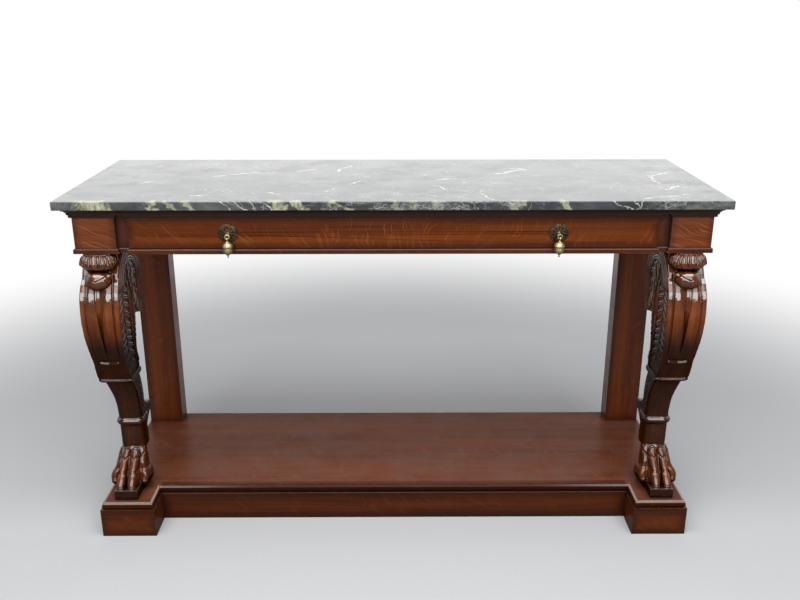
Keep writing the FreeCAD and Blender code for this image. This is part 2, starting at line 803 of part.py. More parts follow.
def volute():
    half = value("volute_width") / 2
    radius = value("volute_radius")
    bead = value("volute_bead")
    middle = FreeCAD.Vector(0, value("volute_set"), value("leg_height - volute_drop"))
    side = FreeCAD.Vector(half, 0, 0)
    drum = Part.makeCylinder(radius, 2 * half, middle - side, side)
    corners = [middle - side + FreeCAD.Vector(0, y * radius, z * radius) for y, z in tail_shares]
    extras = [Part.Face(Part.makePolygon(corners + corners[:1])).extrude(2 * side)]
    for centre in (middle - side, middle + side):
        for number in range(arches):
            path = arch_path(centre, radius - 2 * bead - number * value("volute_pitch"))
            start = path.Vertexes[0].Point
            wire = Part.Wire([Part.Circle(start, FreeCAD.Vector(0, 0, 1), bead).toShape()])
            extras.append(path.makePipeShell([wire], True, False))
    return drum.fuse(extras)


def paw_pad():
    width, depth = value("pad_width"), value("pad_depth")
    middle = -pad_shift_share * value("foot_shift")
    corner = FreeCAD.Vector(middle - width / 2, value("paw_set - pad_lead"), 0)
    return Part.makeBox(width, depth, value("pad_height"), corner)


def ankle_curl():
    half = value("curl_width") / 2
    depth, height = value("knee_depth"), value("leg_height")
    radius = value("curl_radius")
    start = -half - value("foot_shift")
    eye_set_share, eye_height_share = curl_shares[2]
    eye = FreeCAD.Vector(start, eye_set_share * depth, eye_height_share * height)
    points = [FreeCAD.Vector(start, y * depth, z * height) for y, z in curl_shares]
    face = Part.Face(Part.makePolygon(points + points[:1]))
    across = FreeCAD.Vector(2 * half, 0, 0)
    return face.extrude(across).fuse(Part.makeCylinder(radius, 2 * half, eye, FreeCAD.Vector(1, 0, 0)))


def scroll_leg_shape():
    leg = Part.makeLoft([sheath_section(row) for row in sheath_shares], True, False)
    ankle = Part.makeLoft([ankle_section(row) for row in ankle_shares], True, False)
    members = [ankle, collar(upper_collar_shares, upper_corner_share),
               collar(lower_collar_shares, lower_corner_share), paw_core(), paw_pad(), gadrooned_cap(),
               swelling("bud", 0, "-bud_lead", "leg_height - bud_drop"),
               swelling("calyx", 0, "-calyx_lead", "leg_height - calyx_drop"),
               swelling("heel", -pad_shift_share * value("foot_shift"), "heel_set", "heel_rise"),
               volute(), ankle_curl()]
    members += [toe(sign, at_side) for _, sign in sides for at_side in (False, True)]
    leg = leg.fuse(members)
    reach = value("knee_depth") * 2
    slice_box = Part.makeBox(2 * reach, 2 * reach, value("leg_height"), FreeCAD.Vector(-reach, -reach, 0))
    leg = leg.common(slice_box)
    fit = value("dowel_radius + dowel_fit")
    length = value("dowel_length")
    for x, setback, level in ((0, "dowel_set", value("leg_height")), (-value("foot_shift"), "paw_set", 0)):
        foot = FreeCAD.Vector(x, value(setback), level - length / 2)
        leg = leg.cut(Part.makeCylinder(fit, length, foot))
    return leg


def make_legs():
    right = scroll_leg_shape()
    left = right.mirror(FreeCAD.Vector(0, 0, 0), FreeCAD.Vector(1, 0, 0))
    for (side, sign), shape in zip(sides, (left, right)):
        leg = doc.addObject("Part::Feature", f"{side}_scroll_leg")
        leg.Shape = shape
        leg.Placement.Base = FreeCAD.Vector(sign * value(leg_middle), value(block_front), value(board_top))
        keep(leg, f"{side}_scroll_leg")


def make_drawer():
    half = [
        (drawer_half, drawer_face),
        (drawer_half, lip_back),
        (box_half, lip_back),
        (box_half, tongue_back),
    ]
    corners = [(f"-{x}", y) for x, y in half[::-1]] + half
    blank = plate("drawer_front_blank", corners, "frieze_height - 2 * drawer_gap", drawer_low)
    holes = []
    for side, sign in sides:
        through = f"{tongue_back} - {drawer_face} + 2 * overrun"
        hole = rod(f"{side}_stem_hole", "stem_radius + stem_fit", through, f"{sign} * pull_spacing / 2",
                   f"{tongue_back} + overrun", pull_level)
        hole.Placement.Rotation = FreeCAD.Rotation(FreeCAD.Vector(1, 0, 0), 90)
        holes.append(hole)
    keep(cut("drawer_front", blank, holes), "drawer_front")
    length = f"({drawer_rear} - {tongue_back})"
    for side, sign in sides:
        x = start_x(sign, f"({box_half} - drawer_side_thick)", "drawer_side_thick")
        keep(board(f"drawer_{side}_side", "drawer_side_thick", length, "drawer_side_height",
                   x, tongue_back, box_low), f"drawer_{side}_side")
    inside_half = f"({box_half} - drawer_side_thick)"
    bottom_low = f"({box_low} + drawer_bottom_rise)"
    bottom_top = f"({bottom_low} + drawer_bottom_thick)"
    keep(board("drawer_bottom", f"2 * {inside_half}", length, "drawer_bottom_thick",
               f"-{inside_half}", tongue_back, bottom_low), "drawer_bottom")
    keep(board("drawer_back", f"2 * {inside_half}", "drawer_side_thick",
               f"{box_low} + drawer_side_height - {bottom_top}", f"-{inside_half}",
               f"{drawer_rear} - drawer_side_thick", bottom_top), "drawer_back")


def polar_pocket(body, label, corners, count):
    sketch = body_sketch(body, label + "_outline", "XY_Plane", corners)
    pocket = body.newObject("PartDesign::Pocket", label)
    pocket.Profile = sketch
    pocket.Type = "ThroughAll"
    pocket.Midplane = True
    doc.recompute()
    pattern = body.newObject("PartDesign::PolarPattern", label + "_ring")
    pattern.Originals = [pocket]
    pattern.Axis = (sketch, ["N_Axis"])
    pattern.Angle = 360
    pattern.Occurrences = count
    body.Tip = pattern
    doc.recompute()
    return pattern


piercings = 10
rim_notches = 20
piercing_taper_share = 0.2
boss_taper_share = 0.8
lug_sink_share = 0.33
neck_share = 1.5
# Bell rows: radius as a share of the flange's, depth below the hinge as a share of the drop's length.
bell_shares = (
    (0.20, 0.125),
    (0.42, 0.175),
    (0.64, 0.217),
    (0.85, 0.285),
    (1.00, 0.360),
    (1.00, 0.420),
    (0.85, 0.455),
    (0.89, 0.590),
    (0.82, 0.680),
    (0.53, 0.780),
    (0.24, 0.850),
    (0.10, 0.900),
    (0.00, 0.930),
)


def make_rosette(side, sign):
    bore = "(stem_radius + stem_fit)"
    label = f"{side}_rosette"
    body = turned(label, [
        (bore, "0"),
        ("rosette_radius", "0"),
        ("rosette_radius", "rosette_rim"),
        ("piercing_outer + rosette_notch", "rosette_rim + rosette_notch / 2"),
        ("piercing_inner - rosette_notch", "rosette_rise"),
        (bore, "rosette_rise"),
    ])
    doc.recompute()
    polar_pocket(body, f"{side}_piercing", [
        ("-piercing_width / 2", "piercing_outer"),
        (f"-piercing_width * {piercing_taper_share}", "piercing_inner"),
        (f"piercing_width * {piercing_taper_share}", "piercing_inner"),
        ("piercing_width / 2", "piercing_outer"),
    ], piercings)
    polar_pocket(body, f"{side}_rim_notch", [
        ("-rosette_notch / 2", "rosette_radius + rosette_notch"),
        (f"-rosette_notch * {piercing_taper_share}", "rosette_radius - 2 * rosette_notch"),
        (f"rosette_notch * {piercing_taper_share}", "rosette_radius - 2 * rosette_notch"),
        ("rosette_notch / 2", "rosette_radius + rosette_notch"),
    ], rim_notches)
    body.Placement.Rotation = FreeCAD.Rotation(FreeCAD.Vector(1, 0, 0), 90)
    place(body, f"{sign} * pull_spacing / 2", drawer_face, pull_level)
    keep(body, label)


def make_pull_post(side, sign):
    inner_end = f"-({tongue_back} - {drawer_face} + nut_height + overrun)"
    stem = turned(f"{side}_stem", [
        ("0", inner_end),
        ("stem_radius", inner_end),
        ("stem_radius", "rosette_rise"),
        ("boss_radius", "rosette_rise"),
        (f"boss_radius * {boss_taper_share}", "rosette_rise + boss_height"),
        ("stem_radius", "rosette_rise + 2 * boss_height"),
        ("stem_radius", "eye_reach"),
        ("0", "eye_reach"),
    ])
    stem.Placement.Rotation = FreeCAD.Rotation(FreeCAD.Vector(1, 0, 0), 90)
    x = f"{sign} * pull_spacing / 2"
    place(stem, x, drawer_face, pull_level)
    eye = doc.addObject("Part::Torus", f"{side}_eye")
    eye.Placement.Rotation = FreeCAD.Rotation(FreeCAD.Vector(1, 0, 0), 90)
    bind(eye, {"Radius1": "eye_radius", "Radius2": "eye_wire"})
    place(eye, x, f"{drawer_face} - eye_reach", f"{pull_level} - eye_radius")
    post = doc.addObject("Part::Fuse", f"{side}_pull_post")
    post.Base = stem
    post.Tool = eye
    keep(post, f"{side}_pull_post")


def make_drop(side, sign):
    x = f"{sign} * pull_spacing / 2"
    y = f"{drawer_face} - eye_reach"
    z = f"({pull_level} - 2 * eye_radius)"
    bore = "(eye_wire + loop_play)"
    neck = f"loop_wire * {neck_share}"
    top = f"-({bore} + loop_wire * {2 * lug_sink_share})"
    rows = [(f"drop_flange * {radius}", f"-drop_length * {depth}") for radius, depth in bell_shares]
    bell = turned(f"{side}_bell", [("0", top), (neck, top)] + rows)
    rounds = []
    for name, radius in (("lug", f"{bore} + 2 * loop_wire"), ("lug_bore", bore)):
        rounds.append(rod(f"{side}_{name}", radius, "2 * loop_wire", f"{x} - loop_wire", y, z))
        rounds[-1].Placement.Rotation = FreeCAD.Rotation(FreeCAD.Vector(0, 1, 0), 90)
    ball = doc.addObject("Part::Sphere", f"{side}_tip_ball")
    bind(ball, {"Radius": "drop_ball"})
    place(bell, x, y, z)
    place(ball, x, y, f"{z} - drop_length + drop_ball")
    blank = doc.addObject("Part::MultiFuse", f"{side}_drop_blank")
    blank.Shapes = [bell, rounds[0], ball]
    keep(cut(f"{side}_drop", blank, rounds[1:]), f"{side}_drop")


def make_nut(side, sign):
    nut = doc.addObject("Part::Prism", f"{side}_nut_blank")
    nut.Polygon = 6
    bore = doc.addObject("Part::Cylinder", f"{side}_nut_bore")
    bind(nut, {"Circumradius": "nut_radius", "Height": "nut_height"})
    bind(bore, {"Radius": "stem_radius + screw_fit", "Height": "nut_height"})
    for piece in (nut, bore):
        piece.Placement.Rotation = FreeCAD.Rotation(FreeCAD.Vector(1, 0, 0), 90)
        place(piece, f"{sign} * pull_spacing / 2", f"{tongue_back} + nut_height", pull_level)
    return cut(f"{side}_nut", nut, [bore])


def make_pulls():
    nuts = []
    for side, sign in sides:
        make_rosette(side, sign)
        make_pull_post(side, sign)
        make_drop(side, sign)
        nuts.append(make_nut(side, sign))
    keep(group("pull_nuts", nuts), "pull_nuts")


def check_and_write():
    doc.recompute()
    for piece in doc.Objects:
        if "Invalid" in piece.State or "Error" in piece.State:
            raise RuntimeError(f"{piece.Name} did not build: {piece.State}")
    for piece in kept:
        if piece.Shape.isNull() or not piece.Shape.isValid():
            raise RuntimeError(f"{piece.Label} has no valid shape")
    for piece in kept:
        piece.Shape.exportStep(f"parts/{piece.Label}.step")
        print(piece.Label, len(piece.Shape.Solids), round(piece.Shape.Volume / 1000, 1))


make_marble_top()
make_mouldings()
make_frieze()
make_base()
make_fasteners()
make_legs()
make_drawer()
make_pulls()
check_and_write()
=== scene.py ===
import math

import bpy
import numpy as np
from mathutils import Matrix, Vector, noise


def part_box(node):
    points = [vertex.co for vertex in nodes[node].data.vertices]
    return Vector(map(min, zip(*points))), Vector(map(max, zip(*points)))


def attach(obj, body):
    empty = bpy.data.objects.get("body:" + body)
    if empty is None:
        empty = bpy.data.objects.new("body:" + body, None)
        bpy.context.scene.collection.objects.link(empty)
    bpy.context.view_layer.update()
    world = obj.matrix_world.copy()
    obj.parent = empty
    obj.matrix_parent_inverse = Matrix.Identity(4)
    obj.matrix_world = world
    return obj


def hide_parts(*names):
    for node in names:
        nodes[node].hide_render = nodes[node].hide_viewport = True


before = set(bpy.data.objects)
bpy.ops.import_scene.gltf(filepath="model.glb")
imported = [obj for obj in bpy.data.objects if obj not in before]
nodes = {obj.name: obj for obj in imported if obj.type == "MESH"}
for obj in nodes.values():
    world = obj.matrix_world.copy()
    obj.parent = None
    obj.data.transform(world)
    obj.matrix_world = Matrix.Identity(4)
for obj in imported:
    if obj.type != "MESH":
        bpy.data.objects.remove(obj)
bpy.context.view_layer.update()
print("frame loaded with", len(nodes), "solids")


# Short ways to build node trees

falling = (1.0, 0.0)


def fillInputs(tree, node, inputs):
    for key, value in inputs.items():
        if isinstance(value, bpy.types.NodeSocket):
            tree.links.new(value, node.inputs[key])
        else:
            node.inputs[key].default_value = value


def addNode(tree, kind, inputs=None, **settings):
    node = tree.nodes.new(kind)
    for key, value in settings.items():
        setattr(node, key, value)
    fillInputs(tree, node, inputs or {})
    return node.outputs


def calc(tree, operation, first, *others):
    # more than two values are taken one after another
    if not others:
        return addNode(tree, "ShaderNodeMath", {0: first}, operation=operation)[0]
    for other in others:
        first = addNode(tree, "ShaderNodeMath", {0: first, 1: other}, operation=operation)[0]
    return first


def times(tree, *values):
    return calc(tree, "MULTIPLY", *values)


def vectorCalc(tree, operation, *values):
    outputs = addNode(tree, "ShaderNodeVectorMath", dict(enumerate(values)), operation=operation)
    return outputs["Value" if operation in ("DOT_PRODUCT", "LENGTH", "DISTANCE") else "Vector"]


def split(tree, vector):
    return addNode(tree, "ShaderNodeSeparateXYZ", {0: vector})


def combine(tree, *values):
    return addNode(tree, "ShaderNodeCombineXYZ", dict(enumerate(values)))[0]


def fade(tree, value, span, to=(0.0, 1.0)):
    inputs = {"Value": value, "From Min": span[0], "From Max": span[1], "To Min": to[0], "To Max": to[1]}
    return addNode(tree, "ShaderNodeMapRange", inputs, interpolation_type="SMOOTHSTEP")[0]


def cloud(tree, vector, scale, detail, roughness=0.55, span=None, to=(0.0, 1.0), distortion=0.0):
    # noise with one scale, or a scale for each axis, and faded where a span is given
    spread = vectorCalc(tree, "MULTIPLY", vector, scale if isinstance(scale, tuple) else grey(scale))
    inputs = {"Vector": spread, "Scale": 1.0, "Detail": detail, "Roughness": roughness,
              "Distortion": distortion}
    value = addNode(tree, "ShaderNodeTexNoise", inputs)[0]
    return fade(tree, value, span, to) if span else value


def mixColours(tree, factor, first, second, mode="MIX"):
    inputs = {0: factor, 6: first, 7: second}
    return addNode(tree, "ShaderNodeMix", inputs, data_type="RGBA", blend_type=mode)[2]


def stain(tree, colour, tone, amount, *shares):
    for share in shares:
        amount = times(tree, amount, share)
    return mixColours(tree, amount, colour, (*tone, 1))


def shadeBy(tree, colour, shade):
    return mixColours(tree, 1.0, colour, shade, "MULTIPLY")


def grey(value):
    return (value, value, value)


def ramp(tree, factor, stops):
    node = tree.nodes.new("ShaderNodeValToRGB")
    tree.links.new(factor, node.inputs["Fac"])
    elements = node.color_ramp.elements
    while len(elements) < len(stops):
        elements.new(0.5)
    for element, (place, colour) in zip(elements, stops):
        element.position = place
        element.color = (*colour, 1)
    return node.outputs[0]


def makeGroup(name, vectors, numbers, results):
    # each row of labels has spaces between them, and the results are numbers
    tree = bpy.data.node_groups.new(name, "ShaderNodeTree")
    for labels, way, kind in ((vectors, "INPUT", "Vector"), (numbers, "INPUT", "Float"),
                              (results, "OUTPUT", "Float")):
        for label in labels.split():
            tree.interface.new_socket(name=label, in_out=way, socket_type="NodeSocket" + kind)
    given = tree.nodes.new("NodeGroupInput").outputs
    return tree, given, tree.nodes.new("NodeGroupOutput")


def useGroup(tree, name, **inputs):
    return addNode(tree, "ShaderNodeGroup", inputs, node_tree=bpy.data.node_groups[name])


def startMaterial(name, plain):
    material = bpy.data.materials.new(name)
    material.use_nodes = True
    tree = material.node_tree
    shader = tree.nodes["Principled BSDF"]
    fillInputs(tree, shader, plain)
    return material, tree, shader


def finishSurface(tree, shader, colour, place, rough, height, bump):
    low, high = rough
    strength, distance = bump
    polish = useGroup(tree, "handPolish", Vector=place, Low=low, High=high)["Roughness"]
    inputs = {"Height": height, "Strength": strength, "Distance": distance}
    relief = addNode(tree, "ShaderNodeBump", inputs)[0]
    fillInputs(tree, shader, {"Base Color": colour, "Roughness": polish, "Normal": relief})


def addObject(name, data):
    item = bpy.data.objects.new(name, data)
    bpy.context.scene.collection.objects.link(item)
    return item


# Effects that several finishes share
# A noise layer is its scale, detail and roughness, then the span that counts and what that turns into

grain = {
    "rings": ((1.4, 42, 42), 5, 0.6), "ringBend": 0.3,
    "streaks": ((5, 230, 230), 4, 0.6),
    "ringShare": 0.65, "streakShare": 0.35, "streakHeight": 0.4,
    "pores": ((32, 900, 900), 2, 0.5, (0.6, 0.72)),
    "wander": ((7, 12, 12), 2), "wanderBy": 0.11, "fleckAcross": 17.0,
    "bands": (1, 3, 0.5, (0.54, 0.66)), "bandBend": 0.6,
    "patchy": ((6, 20, 20), 2, 0.55, (0.3, 0.54)),
    "toneStops": (0.32, 0.5, 0.68),
    "turns": {"x": (0, 0, 0), "y": (0, 0, -math.pi / 2), "z": (0, math.pi / 2, 0)},
}
wear = {
    "bevelSamples": 4, "edgeTurn": (0.015, 0.16), "shadeSamples": 6,
    "rub": (35, 4, 0.6, (0.38, 0.68)),
    "chips": (120, 3, 0.6, (0.69, 0.73)),
    "smears": (9, 5, 0.65, (0.3, 0.72)),
}


def buildOakFigure():
    tree, given, result = makeGroup("oakFigure", "Vector", "Lean Spacing", "Tone Fleck Pores Height")
    vector = given["Vector"]
    rings = cloud(tree, vector, *grain["rings"], distortion=grain["ringBend"])
    streaks = cloud(tree, vector, *grain["streaks"])
    tone = calc(tree, "ADD", times(tree, rings, grain["ringShare"]),
                times(tree, streaks, grain["streakShare"]))
    pores = cloud(tree, vector, *grain["pores"])
    # ray flecks cross the grain at a lean and bend as they go
    x, y, z = split(tree, vector)
    across = calc(tree, "ADD", y, z)
    wander = times(tree, cloud(tree, vector, *grain["wander"]), grain["wanderBy"])
    along = calc(tree, "ADD", x, wander, times(tree, across, given["Lean"]))
    place = combine(tree, times(tree, along, given["Spacing"]),
                    times(tree, across, grain["fleckAcross"]))
    bands = cloud(tree, place, *grain["bands"], distortion=grain["bandBend"])
    fleck = times(tree, bands, cloud(tree, vector, *grain["patchy"]))
    height = calc(tree, "SUBTRACT", times(tree, streaks, grain["streakHeight"]), pores)
    fillInputs(tree, result, {"Tone": tone, "Fleck": fleck, "Pores": pores, "Height": height})


def buildShadedEdges():
    # 1 at the borders of a board's face, 0 in its middle
    labels = "Generated Facing Size"
    tree, given, result = makeGroup("shadedEdges", labels, "Reach", "Mask")
    bands = []
    for place, facing, size in zip(*(split(tree, given[label]) for label in labels.split())):
        inside = calc(tree, "MINIMUM", place, calc(tree, "SUBTRACT", 1.0, place))
        band = fade(tree, times(tree, inside, size), (0.0, given["Reach"]), falling)
        flat = calc(tree, "SUBTRACT", 1.0, calc(tree, "ABSOLUTE", facing))
        bands.append(times(tree, band, flat))
    fillInputs(tree, result, {"Mask": calc(tree, "MAXIMUM", *bands)})


def buildRubbedEdges():
    tree, given, result = makeGroup("rubbedEdges", "Vector", "Radius", "Mask Chips")
    radius = {"Radius": given["Radius"]}
    rounded = addNode(tree, "ShaderNodeBevel", radius, samples=wear["bevelSamples"])[0]
    plain = addNode(tree, "ShaderNodeNewGeometry")["True Normal"]
    turn = calc(tree, "SUBTRACT", 1.0, vectorCalc(tree, "DOT_PRODUCT", rounded, plain))
    edge = fade(tree, turn, wear["edgeTurn"])
    for label, layer in (("Mask", "rub"), ("Chips", "chips")):
        spots = cloud(tree, given["Vector"], *wear[layer])
        fillInputs(tree, result, {label: times(tree, edge, spots)})


# 1 where the surface is occluded: painted shade in oak corners and carved hollows, and patina in the
#                                  metals' hollows
def buildDarkCorners():
    tree, given, result = makeGroup("darkCorners", "", "Distance Start", "Mask")
    shade = addNode(tree, "ShaderNodeAmbientOcclusion", {"Distance": given["Distance"]},
                    samples=wear["shadeSamples"])["AO"]
    fillInputs(tree, result, {"Mask": fade(tree, shade, (given["Start"], 1.0), falling)})


def buildPolish():
    tree, given, result = makeGroup("handPolish", "Vector", "Low High", "Roughness")
    smears = cloud(tree, given["Vector"], *wear["smears"])
    added = times(tree, smears, calc(tree, "SUBTRACT", given["High"], given["Low"]))
    fillInputs(tree, result, {"Roughness": calc(tree, "ADD", given["Low"], added)})


def buildStreak():
    # 1 along a straight run from Start, 0 outside its half width
    tree, given, result = makeGroup("streak", "Place Start Run", "Width", "Mask")
    run = given["Run"]
    away = vectorCalc(tree, "SUBTRACT", given["Place"], given["Start"])
    along = vectorCalc(tree, "DOT_PRODUCT", away, run)
    whole = vectorCalc(tree, "DOT_PRODUCT", run, run)
    share = addNode(tree, "ShaderNodeMath", {0: along, 1: whole}, operation="DIVIDE", use_clamp=True)[0]
    foot = addNode(tree, "ShaderNodeVectorMath", {0: run, "Scale": share}, operation="SCALE")["Vector"]
    gap = vectorCalc(tree, "DISTANCE", away, foot)
    fillInputs(tree, result, {"Mask": fade(tree, gap, (0.0, given["Width"]), falling)})


for build in (buildOakFigure, buildShadedEdges, buildRubbedEdges, buildDarkCorners, buildPolish,
              buildStreak):
    build()
print("shared effects built")


# Oak finishes

stainTones = {
    "dark": (0.080, 0.0150, 0.0030),
    "mid": (0.175, 0.0360, 0.0055),
    "light": (0.265, 0.0590, 0.0075),
    "fleck": (0.420, 0.1350, 0.0270),
    # this dark tone colours the pores, and paints shade on borders, corners and the set-back edge
    "poreAndShadeTone": (0.022, 0.0055, 0.0036),
    "rubbed": (0.260, 0.0950, 0.0420),
    "chip": (0.560, 0.4200, 0.2800),
    "dust": (0.180, 0.0920, 0.0700),
}
plainTones = {
    "dark": (0.200, 0.115, 0.052),
    "mid": (0.310, 0.190, 0.095),
    "light": (0.400, 0.260, 0.140),
    "fleck": (0.480, 0.330, 0.190),
    "poreAndShadeTone": (0.120, 0.070, 0.035),
    "rubbed": (0.420, 0.290, 0.170),
    "chip": (0.500, 0.380, 0.250),
}
oak = {
    "ior": 1.5, "coatRoughness": 0.12, "seedStep": 7.3, "pores": 0.5, "worn": 0.5, "chipped": 0.6,
    "corner": {"Distance": 0.03, "Start": 0.3}, "rubRadius": 0.0014, "bump": (0.12, 0.0006),
    # spans of the upward part of the normal: painted shade from the rounded front edge up to the top,
    # dusty top, varnish begins, varnish is worn off
    "noseTilt": (0.3, 0.95), "dustTilt": (0.9, 0.99), "varnishTilt": (0.1, 0.35),
    "wornTilt": (0.93, 0.99),
    "blotches": ((9, 14, 14), 5, 0.6, (0.3, 0.7), (0.5, 1.3)),
}
oakDefaults = {
    "tones": stainTones, "fleck": 0.4, "lean": 0.8, "fan": 0.0, "spacing": 60.0, "depth": 1.0,
    "reach": 0.02, "edgeToneAndShadow": 0.6, "cornerShade": 0.55, "gloss": 0.5, "coatIor": 1.8, "rough": (0.26, 0.44),
    "ease": 0.0007,
}


def pair(piece):
    return ["left_" + piece, "right_" + piece]


# the mouldings and top rail under the slab are made very dark: painted shade
mouldingInShade = {"fleck": 0.1, "edgeToneAndShadow": 0.0, "cornerShade": 0.8, "depth": 0.12}
beading = {"fleck": 0.15, "edgeToneAndShadow": 0.0, "cornerShade": 0.7, "depth": 0.45, "gloss": 0.3, "varnish": 0.34,
           "ease": 0}
inside = {"tones": plainTones, "rough": (0.5, 0.7)}
oakLooks = {
    "drawerOak": {
        "nodes": ["drawer_front"], "grain": "x", "fleck": 0.42, "reach": 0.022, "lean": 0.2, "fan": -1.7,
        "spacing": 210.0, "depth": 0.80, "gloss": 0.22},
    "blockOak": {
        "nodes": pair("frieze_block"), "grain": "x", "fleck": 0.6, "lean": 2.2, "edgeToneAndShadow": 0.55,
        "spacing": 120.0},
    "stileOak": {
        "nodes": pair("stile"), "grain": "z", "fleck": 0.2, "edgeToneAndShadow": 0.75, "reach": 0.03, "depth": 0.7,
        "cornerShade": 0.6, "gloss": 0.45},
    "corniceOak": {"nodes": ["front_cornice", "front_bed_mould", "top_rail"], "grain": "x", **mouldingInShade},
    "sideCorniceOak": {"nodes": pair("bed_mould") + pair("cornice"), "grain": "y", **mouldingInShade},
    "beadOak": {"nodes": ["front_bead", "drawer_blade"], "grain": "x", **beading},
    "sideBeadOak": {"nodes": pair("bead"), "grain": "y", **beading},
    "apronOak": {
        "nodes": pair("apron"), "grain": "y", "fleck": 0.5, "reach": 0.025, "lean": 0.9, "depth": 0.8,
        "gloss": 0.3},
    "postOak": {
        "nodes": pair("rear_post"), "grain": "z", "fleck": 0.15, "reach": 0.03, "edgeToneAndShadow": 0.45,
        "depth": 0.68, "gloss": 0.4},
    "plinthOak": {
        "nodes": pair("plinth_block"), "grain": "x", "fleck": 0.2, "reach": 0.03, "depth": 0.6,
        "gloss": 0.25, "varnish": 1.0, "coatIor": 2.3, "ease": 0.0028},
    "fasciaOak": {
        "nodes": ["front_fascia"], "grain": "x", "fleck": 0.15, "reach": 0.03, "depth": 0.45,
        "gloss": 0.25, "varnish": 0.12, "ease": 0.0014},
    "sideFasciaOak": {
        "nodes": pair("fascia"), "grain": "y", "fleck": 0.15, "reach": 0.03, "depth": 0.5,
        "gloss": 0.25, "varnish": 0.4, "ease": 0.0014},
    "platformOak": {
        "nodes": ["platform_board"], "grain": "x", "fleck": 0.2, "reach": 0.05, "edgeToneAndShadow": 0.25,
        "lean": 0.3, "rough": (0.2, 0.36), "depth": 0.86, "gloss": 0.03, "varnish": 1.0, "ease": 0,
        "nose": 0.4, "dust": 0.40,
        "shelter": {"depth": (-0.150, -0.140), "half": 0.609, "soft": 0.004, "tone": 0.6,
                    "ends": (0.3, 0.6), "endShare": 0.4, "varnish": 0.1}},
    "innerOakLong": {
        "nodes": ["rear_apron", "rear_fascia", "centre_bearer", "drawer_bottom", "drawer_back",
                  "platform_battens"], "grain": "x", **inside},
    "innerOakDeep": {
        "nodes": [name for name in nodes if name.endswith(("runner", "guide", "kicker", "side"))],
        "grain": "y", **inside},
    "innerOakTall": {"nodes": ["base_glue_blocks", "leg_dowels"], "grain": "z", **inside},
}


def alongGrain(tree, vector, way):
    return addNode(tree, "ShaderNodeMapping", {"Vector": vector, "Rotation": grain["turns"][way]})[0]


def figureColour(tree, figure, tones):
    colours = [tones[label] for label in ("dark", "mid", "light")]
    return ramp(tree, figure["Tone"], list(zip(grain["toneStops"], colours)))


def shelterMasks(tree, place, shelter):
    # the edge set back between the plinths gets painted shade and keeps less varnish, least in its
    # middle
    across, behind, _ = split(tree, place)
    wide = calc(tree, "ABSOLUTE", across)
    half, soft = shelter["half"], shelter["soft"]
    shadedRecess = times(tree, fade(tree, behind, shelter["depth"], falling),
                      fade(tree, wide, (half - soft, half + soft), falling))
    bare = times(tree, shadedRecess, fade(tree, wide, shelter["ends"], (1.0, shelter["endShare"])))
    return shadedRecess, fade(tree, bare, (0.0, 1.0), (1.0, shelter["varnish"]))


def oakFinish(name, look, boxLow, boxHigh):
    tones = look["tones"]
    material, tree, shader = startMaterial(name, {
        "IOR": oak["ior"], "Specular IOR Level": look["gloss"], "Coat Roughness": oak["coatRoughness"],
        "Coat IOR": look["coatIor"]})
    coords = addNode(tree, "ShaderNodeTexCoord")
    local = vectorCalc(tree, "SUBTRACT", coords["Object"], tuple((boxLow + boxHigh) / 2))
    seed = addNode(tree, "ShaderNodeObjectInfo")["Random"]
    turned = alongGrain(tree, local, look["grain"])
    place = vectorCalc(tree, "ADD", turned, combine(tree, times(tree, seed, oak["seedStep"])))
    # where flecks fan out, their lean changes along the board
    lean = calc(tree, "ADD", times(tree, split(tree, local)[0], look["fan"]), look["lean"])
    figure = useGroup(tree, "oakFigure", Vector=place, Lean=lean, Spacing=look["spacing"])
    colour = figureColour(tree, figure, tones)
    colour = stain(tree, colour, tones["fleck"], figure["Fleck"], look["fleck"])
    colour = stain(tree, colour, tones["poreAndShadeTone"], figure["Pores"], oak["pores"])
    # each piece's stain is darkened by its depth; under the slab this darkness is painted shade
    colour = shadeBy(tree, colour, (*grey(look["depth"]), 1))
    tilt = split(tree, coords["Normal"])[2]
    # painted shade: the platform's rounded front edge darkens as it turns down from the top
    if "nose" in look:
        colour = shadeBy(tree, colour, fade(tree, tilt, oak["noseTilt"], (look["nose"], 1.0)))
    if "dust" in look:
        dusty = fade(tree, tilt, oak["dustTilt"], (0.0, look["dust"]))
        colour = stain(tree, colour, tones["dust"], dusty, cloud(tree, local, *oak["blotches"]))
    if "varnish" in look:
        # it lies thick on rounded upper edges, and has worn off flat tops
        varnish = times(tree, fade(tree, tilt, oak["varnishTilt"], (0.0, look["varnish"])),
                        fade(tree, tilt, oak["wornTilt"], falling))
        if "shelter" in look:
            shadedRecess, kept = shelterMasks(tree, coords["Object"], look["shelter"])
            # painted shade on the edge set back between the plinths
            colour = stain(tree, colour, tones["poreAndShadeTone"], shadedRecess, look["shelter"]["tone"])
            varnish = times(tree, varnish, kept)
        fillInputs(tree, shader, {"Coat Weight": varnish})
    edges = useGroup(tree, "shadedEdges", Generated=coords["Generated"], Facing=coords["Normal"],
                     Size=tuple(boxHigh - boxLow), Reach=look["reach"])
    corners = useGroup(tree, "darkCorners", **oak["corner"])
    rub = useGroup(tree, "rubbedEdges", Vector=coords["Object"], Radius=oak["rubRadius"])
    # the borders darken, partly a real darker stain at the edges and partly painted shadow under the
    # overhangs; occluded corners get painted shade; then rubbed wear and chips
    for tone, mask, amount in (("poreAndShadeTone", edges["Mask"], look["edgeToneAndShadow"]),
                               ("poreAndShadeTone", corners["Mask"], look["cornerShade"]),
                               ("rubbed", rub["Mask"], oak["worn"]),
                               ("chip", rub["Chips"], oak["chipped"])):
        colour = stain(tree, colour, tones[tone], mask, amount)
    finishSurface(tree, shader, colour, place, look["rough"], figure["Height"], oak["bump"])
    return material


easing = {"merge": 0.00001, "segments": 2, "angle": math.radians(35)}


def joinSeams(node):
    weld = node.modifiers.new("joinSeams", "WELD")
    weld.merge_threshold = easing["merge"]


